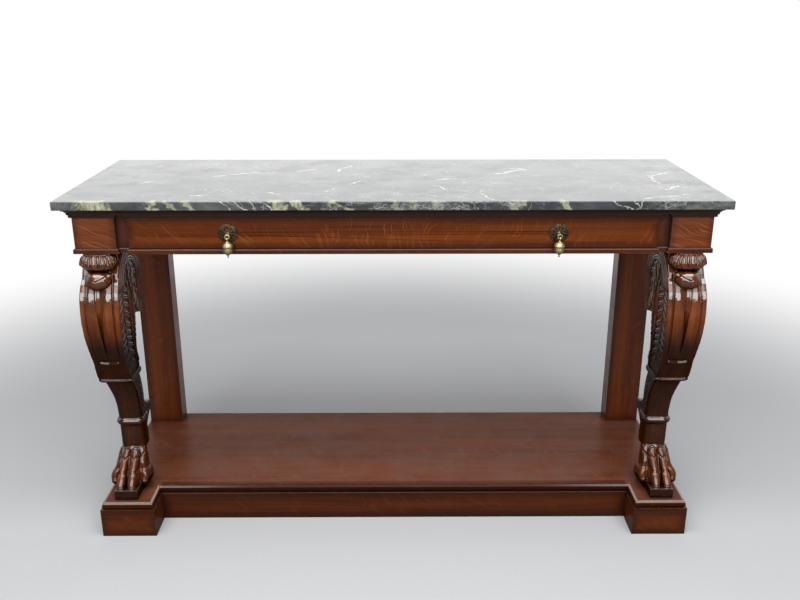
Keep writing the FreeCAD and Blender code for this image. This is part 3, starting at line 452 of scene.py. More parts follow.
def easeEdges(node, width):
    joinSeams(node)
    bevel = node.modifiers.new("easedEdges", "BEVEL")
    bevel.width = width
    bevel.segments = easing["segments"]
    bevel.limit_method = "ANGLE"
    bevel.angle_limit = easing["angle"]
    bevel.harden_normals = True


def dressNode(name, material):
    mesh = nodes[name].data
    if not mesh.materials:
        mesh.materials.append(material)
    for index in range(len(mesh.materials)):
        mesh.materials[index] = material


for label, chosen in oakLooks.items():
    look = {**oakDefaults, **chosen}
    low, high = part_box(look["nodes"][0])
    finish = oakFinish(label, look, low, high)
    for name in look["nodes"]:
        dressNode(name, finish)
        # rounded pieces keep the edges and normals of their solids
        if look["ease"]:
            easeEdges(nodes[name], look["ease"])
print("oak pieces finished")


# Marble slab

marble = {
    "ior": 1.52, "rough": (0.10, 0.24), "bump": (0.06, 0.0004), "ease": 0.0008,
    "base": [(0.30, (0.028, 0.032, 0.036)), (0.48, (0.062, 0.068, 0.072)), (0.64, (0.115, 0.122, 0.118)),
             (0.80, (0.200, 0.210, 0.190))],
    "vein": (0.74, 0.75, 0.70), "veinShare": 0.9,
    "pale": (0.43, 0.44, 0.29),
    "smoke": (0.016, 0.019, 0.020), "smokeShare": 0.9,
    "clouds": (0.150, 0.156, 0.150),
    "swirl": {"scale": 6.0, "by": (0.11, 0.11, 0.11), "shift": (0, 0, 0)},
    "ripple": {"scale": 28.0, "by": (0.034, 0.034, 0), "shift": (-0.017, -0.017, 0)},
    "wobbleDetail": 3.0,
    "mottle": ((5, 11, 11), 7, 0.66), "mottleBend": 0.4,
    "spots": ((26, 40, 40), 5, 0.65, (0.42, 0.62)),
    "drifts": ((10, 16, 16), 6, 0.7, (0.46, 0.68), (0.0, 0.75)),
    "flaws": ((90, 60, 60), 5, 0.7, (0.34, 0.56), (0.2, 1.0)),
    "clouding": ((60, 110, 110), 5, 0.7, (0.36, 0.62)),
    "broken": ((22, 60, 60), 4, 0.65, (0.36, 0.6)),
    "thinned": ((9, 13, 13), 4, 0.65, (0.44, 0.68), (0.0, 0.5)),
    "feathered": (90, 4, 0.65, (0.36, 0.58)),
    "specks": (70, 3, 0.6, (0.68, 0.76), (0.0, 0.5)),
    "ragged": (60, 4, 0.6), "raggedBy": 0.05,
    "lines": (3, 0.6),
    "cracks": ((42, 80, 80), 0.03), "fineCracks": ((150, 190, 190), 0.05),
    "fineShare": 0.55, "netShare": 0.6,
    "hairs": [((7, 10, 10), 0.007), ((17, 24, 24), 0.012)],
    "strokeGaps": ((0.0, 0.5), (0.35, 1.0)),
    # depths where the front edge ends and where the patches run out on the top
    "frontEdge": (-0.2625, -0.257), "patchEdge": (-0.262, -0.235),
    # pale green patches along the front: middle, half width, lean of their edges, strength
    "patches": [(-0.668, 0.036, -0.9, 1.0), (-0.537, 0.011, -0.3, 1.0), (-0.496, 0.009, -1.3, 0.6),
                (-0.454, 0.009, -1.0, 0.8), (-0.255, 0.018, -0.5, 1.0), (-0.209, 0.014, -1.0, 1.0),
                (-0.116, 0.008, -2.2, 0.8), (0.006, 0.008, -0.6, 0.5), (0.046, 0.008, -0.4, 0.4),
                (0.096, 0.011, -0.2, 0.6), (0.276, 0.016, 0.6, 0.65), (0.386, 0.008, -1.0, 0.8)],
    # thin white strokes across the front edge, in the same terms
    "strokes": [(-0.372, 0.0024, -1.2, 0.6), (-0.341, 0.0026, -1.2, 0.7), (-0.310, 0.0024, -1.2, 0.6),
                (-0.283, 0.0030, -1.3, 0.8), (0.508, 0.0026, -2.2, 0.7), (0.541, 0.0024, -0.9, 0.7),
                (0.551, 0.0024, 0.9, 0.6)],
    "bandHeight": 0.862, "bandEdge": (0.72, 1.15),
    # lengths of the front edge, along the width: net of cracks, grey clouding
    "netted": [(-0.19, 0.30)], "clouded": [(-0.80, -0.69), (0.56, 0.80)], "spanSoft": 0.04,
    # white streaks on the top: start, run, half width
    "streaks": [((-0.453, 0.026), (0.096, 0.051), 0.006), ((-0.251, 0.084), (0.047, 0.040), 0.006),
                ((-0.148, 0.100), (0.038, 0.069), 0.006), ((-0.619, -0.062), (0.025, 0.027), 0.005),
                ((-0.628, 0.134), (0.005, 0.042), 0.005), ((-0.462, -0.199), (0.036, -0.002), 0.004),
                ((-0.304, -0.162), (0.042, -0.018), 0.004), ((-0.111, -0.071), (0.040, 0.045), 0.005),
                ((-0.160, -0.159), (0.017, 0.032), 0.004), ((0.264, 0.058), (0.083, 0.059), 0.007),
                ((0.291, 0.134), (0.056, -0.017), 0.006), ((0.099, -0.085), (0.029, -0.056), 0.005),
                ((0.104, -0.026), (0.050, 0.021), 0.005), ((0.645, 0.020), (0.072, 0.057), 0.007),
                ((0.651, 0.020), (-0.007, -0.091), 0.005), ((0.570, -0.232), (0.122, 0.039), 0.006),
                ((0.195, -0.180), (0.030, -0.064), 0.004), ((0.641, -0.141), (0.041, 0.042), 0.006)],
    "smudge": ((-0.527, -0.127), (0.031, 0.244), 0.07),
}


def wobble(tree, vector, coords, scale, by, shift):
    inputs = {"Vector": coords, "Scale": scale, "Detail": marble["wobbleDetail"]}
    colours = addNode(tree, "ShaderNodeTexNoise", inputs)["Color"]
    return vectorCalc(tree, "ADD", vector, vectorCalc(tree, "MULTIPLY_ADD", colours, by, shift))


def streakMask(tree, place, start, run, width):
    return useGroup(tree, "streak", Place=place, Start=(*start, 0), Run=(*run, 0), Width=width)["Mask"]


def stretches(tree, x, spans):
    soft = marble["spanSoft"]
    masks = [times(tree, fade(tree, x, (low, low + soft)), fade(tree, x, (high - soft, high), falling))
             for low, high in spans]
    return masks[0] if len(masks) == 1 else calc(tree, "MAXIMUM", *masks)


def leaningBands(tree, x, z, bands):
    inner, outer = marble["bandEdge"]
    above = calc(tree, "SUBTRACT", z, marble["bandHeight"])
    masks = []
    for middle, half, lean, strength in bands:
        leaning = calc(tree, "ADD", x, times(tree, above, -lean))
        away = calc(tree, "ABSOLUTE", calc(tree, "SUBTRACT", leaning, middle))
        masks.append(fade(tree, away, (half * inner, half * outer), (strength, 0.0)))
    return calc(tree, "MAXIMUM", *masks)


def crackle(tree, place, scale, width):
    # thin lines where a noise passes its middle value
    away = calc(tree, "SUBTRACT", cloud(tree, place, scale, *marble["lines"]), 0.5)
    return fade(tree, calc(tree, "ABSOLUTE", away), (0.0, width), falling)


def marbleFinish():
    material, tree, shader = startMaterial("polishedMarble", {"IOR": marble["ior"]})
    coords = addNode(tree, "ShaderNodeTexCoord")["Object"]
    x, y, z = split(tree, coords)
    place = wobble(tree, coords, coords, **marble["swirl"])
    flat = wobble(tree, vectorCalc(tree, "MULTIPLY", coords, (1, 1, 0)), coords, **marble["ripple"])
    nearFront = fade(tree, y, marble["frontEdge"], falling)
    mottle = cloud(tree, place, *marble["mottle"], distortion=marble["mottleBend"])
    colour = ramp(tree, mottle, marble["base"])
    # smoky mottling on one part of the top, and drifts of it behind the front edge
    colour = stain(tree, colour, marble["smoke"], streakMask(tree, flat, *marble["smudge"]),
                   cloud(tree, place, *marble["spots"]), marble["smokeShare"])
    colour = stain(tree, colour, marble["smoke"], cloud(tree, place, *marble["drifts"]),
                   calc(tree, "SUBTRACT", 1.0, nearFront))
    # pale patches and grey clouding along the front edge
    ragged = calc(tree, "SUBTRACT", cloud(tree, coords, *marble["ragged"]), 0.5)
    slide = calc(tree, "ADD", x, times(tree, ragged, marble["raggedBy"]))
    colour = stain(tree, colour, marble["pale"], leaningBands(tree, slide, z, marble["patches"]),
                   fade(tree, y, marble["patchEdge"], falling), cloud(tree, place, *marble["flaws"]))
    colour = stain(tree, colour, marble["clouds"], stretches(tree, x, marble["clouded"]), nearFront,
                   cloud(tree, place, *marble["clouding"]))
    # white veins: a net of cracks and leaning strokes on the front edge
    fine = times(tree, crackle(tree, coords, *marble["fineCracks"]), marble["fineShare"])
    cracks = calc(tree, "MAXIMUM", crackle(tree, place, *marble["cracks"]), fine)
    broken = cloud(tree, coords, *marble["broken"])
    net = times(tree, cracks, broken, stretches(tree, x, marble["netted"]), nearFront,
                marble["netShare"])
    strokes = times(tree, leaningBands(tree, slide, z, marble["strokes"]), nearFront,
                    fade(tree, broken, *marble["strokeGaps"]))
    # faint hair veins that come and go over the whole slab, long streaks on the top, and specks
    hairs = calc(tree, "MAXIMUM", *(crackle(tree, place, *hair) for hair in marble["hairs"]))
    hairs = times(tree, hairs, cloud(tree, coords, *marble["thinned"]))
    feathered = cloud(tree, coords, *marble["feathered"])
    streaks = calc(tree, "MAXIMUM", *(streakMask(tree, flat, *streak) for streak in marble["streaks"]))
    streaks = times(tree, streaks, feathered)
    veins = calc(tree, "MAXIMUM", net, strokes, hairs, streaks, cloud(tree, place, *marble["specks"]))
    colour = stain(tree, colour, marble["vein"], veins, marble["veinShare"])
    finishSurface(tree, shader, colour, coords, marble["rough"], veins, marble["bump"])
    return material


dressNode("marble_top", marbleFinish())
easeEdges(nodes["marble_top"], marble["ease"])
print("marble finished")


# Brass pulls and steel

metal = {
    "tarnish": (180, 5, 0.65), "stops": (0.35, 0.65), "smearScale": 12,
    "corner": {"Distance": 0.006, "Start": 0.25}, "patinaShare": 0.9, "bump": (0.15, 0.0004),
}
metalLooks = {
    "pullBrass": {
        "dull": (0.42, 0.35, 0.19), "bright": (0.72, 0.63, 0.39), "patina": (0.030, 0.023, 0.012),
        "rough": (0.42, 0.58),
        "nodes": [name for name in nodes if "pull" in name or name.endswith("_drop")]},
    # the pierced rosette is dull, tarnished brass, and its very dark tones also paint the shade in its
    # piercings
    "rosetteBrass": {
        "dull": (0.035, 0.024, 0.013), "bright": (0.19, 0.130, 0.074), "patina": (0.008, 0.006, 0.004),
        "rough": (0.36, 0.55), "nodes": pair("rosette")},
    "dullSteel": {
        "dull": (0.27, 0.27, 0.28), "bright": (0.42, 0.42, 0.43), "patina": (0.08, 0.07, 0.06),
        "rough": (0.35, 0.55), "nodes": ["post_screws"]},
}


def metalFinish(name, look):
    material, tree, shader = startMaterial(name, {"Metallic": 1.0})
    coords = addNode(tree, "ShaderNodeTexCoord")["Object"]
    tarnish = cloud(tree, coords, *metal["tarnish"])
    colour = ramp(tree, tarnish, list(zip(metal["stops"], (look["dull"], look["bright"]))))
    corners = useGroup(tree, "darkCorners", **metal["corner"])
    colour = stain(tree, colour, look["patina"], corners["Mask"], metal["patinaShare"])
    place = vectorCalc(tree, "MULTIPLY", coords, grey(metal["smearScale"]))
    finishSurface(tree, shader, colour, place, look["rough"], tarnish, metal["bump"])
    return material


for label, look in metalLooks.items():
    finish = metalFinish(label, look)
    for name in look["nodes"]:
        dressNode(name, finish)
print("metals finished")


# Carved legs: the solid leg is remeshed finely and the carving is cut into it
# The carving is in millimetres from the leg's middle, front and foot
# A span is low, high and soft ends, and a ridge or groove is height and width

leg = {
    "middle": 0.6825, "front": -0.232, "base": 0.094, "unit": 1000,
    "voxel": 0.0012, "smoothing": 0.5, "smoothSteps": 3,
    "wobble": 0.22, "wobbleSize": 9.0, "wobbleSquash": 0.6,
    "foot": (3, 3), "topLevel": 640, "topFacing": 0.85,
    "levels": [317, 370, 410, 452, 494, 542, 582, 650],
    "frontLine": [27.7, 5.3, -11.8, -23.6, -27.7, -23.0, -2.4, 11.8],
    "rearLine": [106.8, 97.9, 96.8, 97.4, 99.7, 104.4, 110.9, 118.0],
    "halfWidths": [38.5, 39.7, 41.0, 43.5, 45.0, 45.0, 43.0, 39.0],
    "channel": [1.4, 1.4, 1.4, 2.7, 5.0, 7.7, 9.0, 9.0],
    "rimLevels": [345, 370, 400, 440, 485, 522, 560], "rimLine": [97, 91, 81, 70, 61, 60, 64],
}
leaf = {
    "sweep": 0.8, "sweepPower": 1.2, "sway": 0.2, "swayLength": 17.0, "lobePower": 0.55, "outline": 0.97,
    "notch": 0.25, "soft": 0.14, "veinHeight": 0.5, "veinCount": 3, "veinStart": 3, "hollow": 0.5,
    "rib": (1.2, 0.12), "sink": 0.35,
}
sideCarving = {
    "facing": (0.55, 0.25), "volute": (89.0, 554.0), "archFoot": 482, "archInner": 47,
    "reeds": {"span": (47, 91, 2), "top": 86.0, "pitch": 12.0, "height": 2.5, "half": 2.7,
              "grooveAt": 3.0, "groove": (1.1, 0.9)},
    "rim": {"span": (340, 566, 8), "bead": (2.4, 1.5)},
    "panel": {"span": (346, 560, 14), "frontGap": 8, "gaps": 11, "pitch": 22.0, "rise": 3.0},
    "strip": {"span": (392, 474, 12), "frontGap": 2, "gaps": 4, "start": 9, "pitch": 17.0, "rise": 2.4},
    "stem": {"top": (96.0, 604.0), "tip": (160.0, 456.0), "span": (-12, 168, 10), "rimGap": 3,
             "levels": (447, 606), "places": [-10, 30, 90, 165], "widths": [26, 40, 46, 20],
             "pitch": 27.0, "rise": 4.2},
    "lip": {"span": (308, 330, 7), "depth": 3.6},
    "ankle": {"span": (202, 306, 16), "levels": [190, 266, 317], "line": [103, 88, 70], "start": 200,
              "length": 110, "half": 22, "count": 6, "lean": 1.4, "cut": 0.35, "rib": (1.0, 0.07),
              "depth": 1.1},
}
frontCarving = {
    "facing": (0.35, 0.25),
    "strip": {"span": (380, 604, 26), "width": 12.0, "quirk": (2.0, 1.5), "beadGap": 3.6,
              "bead": (0.9, 1.2)},
    "channelEdge": {"span": (500, 580, 20), "groove": (1.3, 1.1)},
    "channelLine": {"span": (398, 530, 26), "groove": (1.7, 1.3)},
    "tongue": {"level": 374, "curve": 0.006, "span": (-1, 24, 3), "ridge": (4.0, 2.4),
               "hollowGap": 6, "hollow": (1.4, 4)},
    "lip": {"level": 318, "curve": 0.002, "ridge": (2.4, 3.4)},
}
cap = {
    "half": (42.0, 27.0), "middleY": 2.0, "low": 612.0, "high": 652, "flute": 360 / 28,
    "outer": (0.55, 0.2), "depths": (-60, 20, 8),
    "rib": (2.6, 0.2), "ribSink": 1.0, "ribStart": 10, "ribArch": 5, "ribSoft": 3,
    "lean": (15, 22), "leanDepth": 3.6, "leanPower": 1.2,
    "tip": (1.6, 3.0), "tipStart": 13, "tipPart": (1.0, 0.3),
}
bud = {
    "half": (29.0, 21.5), "level": 587.0, "outline": 1.12, "soft": 0.1, "facing": 0.3, "depth": 12,
    "top": 611, "lapStart": 4, "lapSlope": 0.45, "lapHeight": 1.5, "lapSoft": 1.6,
    "grooveGap": 1.5, "groove": (0.6, 1.2),
}
paw = {
    "levels": [28, 41, 68, 84, 106],
    "toes": [[-37.8, -38.2, -32.1, -29.9, -28.0], [-14.6, -14.7, -16.6, -17.2, -15.3],
             [13.0, 12.3, 9.4, 7.6, 2.5], [36.2, 35.8, 24.9, 20.3, 15.2]],
    "facing": (0.45, 0.2), "depth": 100, "toeHalf": 12,
    "tuftLow": 91, "tuftHigh": 112, "lowSlope": 0.8, "highSlope": 0.5, "tuftSoft": 2.5, "tuftHalf": 9,
    "tuftEdge": 2, "tuftHeight": 2.2, "cutLevel": 88.5, "cut": (1.3, 1.5),
    # hollows and creases of knuckle and nail: level, depth, width
    "creases": [(62, 2.2, 7.0), (60, 0.5, 1.6), (33, 0.8, 1.2)],
}


def within(value, low, high, soft):
    both = np.minimum(np.clip((value - low) / soft, 0, 1), np.clip((high - value) / soft, 0, 1))
    return both * both * (3 - 2 * both)


def ridge(distance, height, width):
    return height * np.exp(-(distance / width) ** 2)


def rising(value, start, soft):
    return np.clip((value - start) / soft, 0, 1)


def leafRun(along, side, pitch, rise):
    # overlapping lobes either side of a rib, with fine veins
    reach = np.abs(side)
    phase = along / pitch + leaf["sweep"] * reach ** leaf["sweepPower"] \
        + leaf["sway"] * np.sin(along / leaf["swayLength"])
    lobe = np.sin(np.pi * (phase - np.floor(phase))) ** leaf["lobePower"]
    outline = np.clip((leaf["outline"] - reach - leaf["notch"] * (1 - lobe)) / leaf["soft"], 0, 1)
    veins = leaf["veinHeight"] * np.cos(2 * np.pi * phase * leaf["veinCount"]) \
        * np.clip(reach * leaf["veinStart"], 0, 1)
    crown = rise * lobe * (1 - leaf["hollow"] + leaf["hollow"] * reach)
    return outline * (crown + veins + ridge(side, *leaf["rib"])) - leaf["sink"] * rise


def carveSides(x, y, z, facing):
    front = np.interp(z, leg["levels"], leg["frontLine"])
    rear = np.interp(z, leg["levels"], leg["rearLine"])
    rim = np.interp(z, leg["rimLevels"], leg["rimLine"])
    onSide = rising(np.abs(facing[:, 0]), *sideCarving["facing"])
    voluteY, voluteZ = sideCarving["volute"]
    arch = np.where(z >= voluteZ, np.hypot(y - voluteY, z - voluteZ), np.abs(y - voluteY))
    underArch = (z >= voluteZ) | ((y > voluteY) & (z > sideCarving["archFoot"]))
    inArch = arch < sideCarving["archInner"]
    # reeds that follow the arch of the volute, between the solid's own beads
    form = sideCarving["reeds"]
    middle = np.mod((form["top"] - arch) / form["pitch"], 1.0) * form["pitch"] - form["pitch"] / 2
    reeds = form["height"] * np.sqrt(np.clip(1 - (middle / form["half"]) ** 2, 0, 1))
    grooves = ridge(np.abs(middle) - form["grooveAt"], *form["groove"])
    height = underArch * within(arch, *form["span"]) * (reeds - grooves)
    # thin rim that parts the front panel from the leaf behind it
    form = sideCarving["rim"]
    height += within(z, *form["span"]) * ridge(y - rim, *form["bead"])
    # leaf run down the front panel and a narrower one behind the rim
    form = sideCarving["panel"]
    panel = (y - (front + form["frontGap"])) / np.maximum(rim - front - form["gaps"], 1) * 2 - 1
    onPanel = (np.abs(panel) < 1) * (~underArch | inArch) * within(z, *form["span"])
    height += onPanel * leafRun(z, panel, form["pitch"], form["rise"])
    form = sideCarving["strip"]
    strip = (y - (rim + form["frontGap"])) / np.maximum(rear - rim - form["gaps"], 1) * 2 - 1
    onStrip = (np.abs(strip) < 1) * within(z, *form["span"])
    height += onStrip * leafRun(z + form["start"], strip, form["pitch"], form["rise"])
    # broad leaf that hangs inside the arch and ends in the tail
    form = sideCarving["stem"]
    (topY, topZ), (tipY, tipZ) = form["top"], form["tip"]
    length = math.hypot(tipY - topY, tipZ - topZ)
    wayY, wayZ = (tipY - topY) / length, (tipZ - topZ) / length
    along = (y - topY) * wayY + (z - topZ) * wayZ
    across = (y - topY) * -wayZ + (z - topZ) * wayY
    width = np.interp(along, form["places"], form["widths"])
    low, high = form["levels"]
    onLeaf = (np.abs(across) < width) & (y > rim + form["rimGap"]) & inArch & (z < high) & (z > low)
    height += onLeaf * within(along, *form["span"]) \
        * leafRun(-along, across / width, form["pitch"], form["rise"])
    # the collar's lip is pared away on the sides
    form = sideCarving["lip"]
    height -= within(z, *form["span"]) * form["depth"]
    # leaf cut into the ankle's sides
    form = sideCarving["ankle"]
    across = (y - np.interp(z, form["levels"], form["line"])) / form["half"]
    turns = (z - form["start"]) / form["length"] * form["count"] + np.abs(across) * form["lean"]
    chevron = np.clip(form["cut"] - np.abs(np.sin(np.pi * turns)), 0, 1) / form["cut"]
    cut = within(z, *form["span"]) * (np.abs(across) < 1) * form["depth"]
    return onSide * (height - cut * (chevron + ridge(across, *form["rib"])))


def carveFront(x, y, z, facing):
    half = np.interp(z, leg["levels"], leg["halfWidths"])
    channel = np.interp(z, leg["levels"], leg["channel"])
    onFront = rising(-facing[:, 1], *frontCarving["facing"])
    wide = np.abs(x)
    # flat strips at the edges, each with a quirk and a thin bead beside it
    form = frontCarving["strip"]
    quirk = half - form["width"]
    bead = ridge(wide - quirk + form["beadGap"], *form["bead"])
    height = within(z, *form["span"]) * (bead - ridge(wide - quirk, *form["quirk"]))
    # edges of the channel, and the line that it closes to
    for form, away in ((frontCarving["channelEdge"], wide - channel), (frontCarving["channelLine"], x)):
        height -= within(z, *form["span"]) * ridge(away, *form["groove"])
    # tongue below the reeds
    form = frontCarving["tongue"]
    above = z - form["level"] - form["curve"] * x ** 2
    hollow = ridge(above - form["hollowGap"], *form["hollow"])
    height += within(wide, *form["span"]) * (ridge(above, *form["ridge"]) - hollow)
    # rounded lip of the collar, which droops a little at the middle
    form = frontCarving["lip"]
    height += ridge(z - form["level"] - form["curve"] * x ** 2, *form["ridge"])
    return onFront * height


def carveCap(x, y, z, facing):
    halfX, halfY = cap["half"]
    ahead = (y - cap["middleY"]) / halfY
    above = z - cap["low"]
    # narrow ribs stand on the lobes of the solid, two to each
    part = np.abs(np.mod(np.degrees(np.arctan2(ahead, x / halfX)) / cap["flute"], 1.0) - 0.5)
    ribs = ridge(part, *cap["rib"]) - cap["ribSink"]
    start = cap["low"] + cap["ribStart"] + cap["ribArch"] * part
    height = within(z, start, cap["high"], cap["ribSoft"]) * ribs
    # the leaves lean back towards their roots and end in rounded tips
    lean = rising(above, *cap["lean"]) ** cap["leanPower"]
    height -= cap["leanDepth"] * lean * (z < cap["high"])
    height += ridge(above - cap["tipStart"], *cap["tip"]) * ridge(part, *cap["tipPart"])
    outer = rising(np.hypot(x / halfX, ahead), *cap["outer"])
    return height * outer * within(y, *cap["depths"])


def carveBud(x, y, z, facing):
    # two leaf tips lap over the bud
    halfX, halfZ = bud["half"]
    ring = np.hypot(x / halfX, (z - bud["level"]) / halfZ)
    onBud = np.clip((bud["outline"] - ring) / bud["soft"], 0, 1) \
        * (facing[:, 1] < bud["facing"]) * (y < bud["depth"]) * (z < bud["top"])
    above = z - bud["level"] - bud["lapStart"] - bud["lapSlope"] * np.abs(x)
    groove = ridge(above + bud["grooveGap"], *bud["groove"])
    return onBud * (bud["lapHeight"] * rising(above, 0, bud["lapSoft"]) - groove)


def carvePaw(x, y, z, facing):
    away = np.min([np.abs(x - np.interp(z, paw["levels"], toe)) for toe in paw["toes"]], axis=0)
    turned, soft = paw["facing"]
    ahead = np.clip((turned - facing[:, 1]) / soft, 0, 1) * (y < paw["depth"])
    # a pointed tuft over each toe, then the creases of knuckle and nail
    rise = paw["lowSlope"] * away
    tuft = within(z, paw["tuftLow"] + rise, paw["tuftHigh"] - paw["highSlope"] * away, paw["tuftSoft"])
    height = paw["tuftHeight"] * tuft * np.clip((paw["tuftHalf"] - away) / paw["tuftEdge"], 0, 1)
    height -= ridge(z - paw["cutLevel"] - rise, *paw["cut"]) * (away < paw["tuftHalf"])
    for level, depth, width in paw["creases"]:
        height -= ridge(z - level, depth, width) * (away < paw["toeHalf"])
    return ahead * height


def readVectors(vertices, label):
    values = np.zeros(len(vertices) * 3, np.float32)
    vertices.foreach_get(label, values)
    return values.reshape(-1, 3).astype(float)


def carveLeg(sign, name):
    piece = addObject(name.replace("scroll_leg", "carved_leg"), nodes[name].data.copy())
    joinSeams(piece)
    remesh = piece.modifiers.new("fineMesh", "REMESH")
    remesh.mode = "VOXEL"
    remesh.voxel_size = leg["voxel"]
    smooth = piece.modifiers.new("softened", "SMOOTH")
    smooth.factor = leg["smoothing"]
    smooth.iterations = leg["smoothSteps"]
    depsgraph = bpy.context.evaluated_depsgraph_get()
    fine = bpy.data.meshes.new_from_object(piece.evaluated_get(depsgraph))
    piece.modifiers.clear()
    piece.data = fine
    places = readVectors(fine.vertices, "co")
    facing = readVectors(fine.vertices, "normal")
    x = (sign * places[:, 0] - leg["middle"]) * leg["unit"]
    y = (places[:, 1] - leg["front"]) * leg["unit"]
    z = (places[:, 2] - leg["base"]) * leg["unit"]
    turned = facing * (sign, 1, 1)
    forms = (carveSides, carveFront, carveCap, carveBud, carvePaw)
    height = sum(carve(x, y, z, turned) for carve in forms)
    squash, size = leg["wobbleSquash"], leg["wobbleSize"]
    grainy = np.array([noise.noise(Vector((a, b, c * squash)) / size) for a, b, c in zip(x, y, z)])
    height += leg["wobble"] * grainy
    # the foot and the flat top stay where they meet their neighbours
    height *= rising(z, *leg["foot"])
    height *= (z < leg["topLevel"]) | (turned[:, 2] < leg["topFacing"])
    places += facing * height[:, None] / leg["unit"]
    fine.vertices.foreach_set("co", places.astype(np.float32).ravel())
    fine.update()
    fine.materials.clear()
    for polygon in fine.polygons:
        polygon.use_smooth = True
    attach(piece, "carcase")
    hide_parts(name)
    return piece


carved = {
    "plain": {"IOR": 1.5, "Specular IOR Level": 0.015, "Coat Roughness": 0.12, "Coat IOR": 2.2},
    "dark": (0.100, 0.0210, 0.0045), "mid": (0.225, 0.0510, 0.0075), "light": (0.380, 0.0960, 0.0110),
    "shadeAndPoreTone": (0.0065, 0.0030, 0.0024), "high": (0.250, 0.0850, 0.0230),
    "lean": 0.5, "spacing": 60.0, "pores": 0.4, "rough": (0.2, 0.36), "bump": (0.1, 0.0005),
    # painted shade: the hollows of the carving are darkened
    "corner": {"Distance": 0.012, "Start": 0.35}, "cornerShadeShare": 0.95,
    # painted light and shade from the foot up to the cap: the lit knee is lighter, the ankle and lower
    # knee that face down are darker
    "paintedShading": [(0.00, 0.10), (0.035, 0.12), (0.065, 0.58), (0.15, 0.50), (0.18, 0.22), (0.48, 0.14),
               (0.65, 0.13), (0.71, 0.54), (0.80, 0.78), (0.85, 0.40), (0.90, 0.50), (1.00, 0.60)],
    # painted shade on surfaces that face sideways
    "sideTurn": (0.6, 0.9), "sideShade": 0.6,
    # share of the varnish left, from the foot up
    "coats": [(0.00, 0.5), (0.15, 0.5), (0.19, 0.9), (0.42, 0.75), (0.48, 0.30), (0.60, 0.50),
              (0.66, 1.0), (1.00, 1.0)],
    "coatTurn": (0.45, 0.85), "coatCrest": ((0.503, 0.53), (0.02, 0.9)), "coatTilt": (-0.05, 0.15),
    "capShare": (0.86, 0.9), "underCoat": (0.2, 0.7), "coatCorner": ((0.1, 0.7), (1.0, 0.1)),
    "rubCrest": (0.515, 0.58), "rubShare": 0.5,
    "patchy": ((30, 30, 14), 3, 0.55, (0.35, 0.65)),
}


def carvedFinish():
    material, tree, shader = startMaterial("carvedOak", carved["plain"])
    coords = addNode(tree, "ShaderNodeTexCoord")
    place = coords["Object"]
    figure = useGroup(tree, "oakFigure", Vector=alongGrain(tree, place, "z"), Lean=carved["lean"],
                      Spacing=carved["spacing"])
    colour = figureColour(tree, figure, carved)
    low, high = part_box("left_scroll_leg")
    inputs = {"Value": split(tree, place)[2], "From Min": low[2], "From Max": high[2]}
    share = addNode(tree, "ShaderNodeMapRange", inputs)[0]
    paintedShading, coats = (ramp(tree, share, [(level, grey(value)) for level, value in carved[label]])
                     for label in ("paintedShading", "coats"))
    # painted light and shade by height
    colour = shadeBy(tree, colour, paintedShading)
    # painted shade in the hollows of the carving
    corners = useGroup(tree, "darkCorners", **carved["corner"])["Mask"]
    colour = stain(tree, colour, carved["shadeAndPoreTone"], corners, carved["cornerShadeShare"])
    facing = split(tree, coords["Normal"])
    sideways = calc(tree, "ABSOLUTE", facing[0])
    # painted shade where the surface faces sideways
    colour = shadeBy(tree, colour, fade(tree, sideways, carved["sideTurn"], (1.0, carved["sideShade"])))
    # varnish is thick where the front looks up, thin in the hollows and over the toes, and on the sides
    # it is left on the crests alone
    crest = addNode(tree, "ShaderNodeNewGeometry")["Pointiness"]
    front = fade(tree, sideways, carved["coatTurn"], (1.0, fade(tree, crest, *carved["coatCrest"])))
    under = fade(tree, share, carved["capShare"], carved["underCoat"])
    upward = fade(tree, facing[2], carved["coatTilt"], (under, 1.0))
    varnish = times(tree, front, upward, coats, fade(tree, corners, *carved["coatCorner"]))
    fillInputs(tree, shader, {"Coat Weight": varnish})
    colour = stain(tree, colour, carved["high"], fade(tree, crest, carved["rubCrest"]),
                   cloud(tree, place, *carved["patchy"]), carved["rubShare"])
    colour = stain(tree, colour, carved["shadeAndPoreTone"], figure["Pores"], carved["pores"])
    finishSurface(tree, shader, colour, place, carved["rough"], figure["Height"], carved["bump"])
    return material


legFinish = carvedFinish()
for sign, name in ((-1, "left_scroll_leg"), (1, "right_scroll_leg")):
    carvedLeg = carveLeg(sign, name)
    carvedLeg.data.materials.append(legFinish)
    print(carvedLeg.name, len(carvedLeg.data.polygons), "faces")


# Floor, backdrop, lights and camera

stage = {
    "floor": (0.62, 0.63, 0.65), "roughness": 0.85, "bounce": 0.35, "size": 14.0, "fade": (1.3, 2.7),
    "speckle": (220, 3, 0.6), "speckleStops": (0.3, 0.7), "speckleShade": 0.94,
    "behindTable": (-0.2, 0.6), "ambient": 0.24, "behindCamera": 0.12, "skyTurn": (-0.35, 0.25),
}


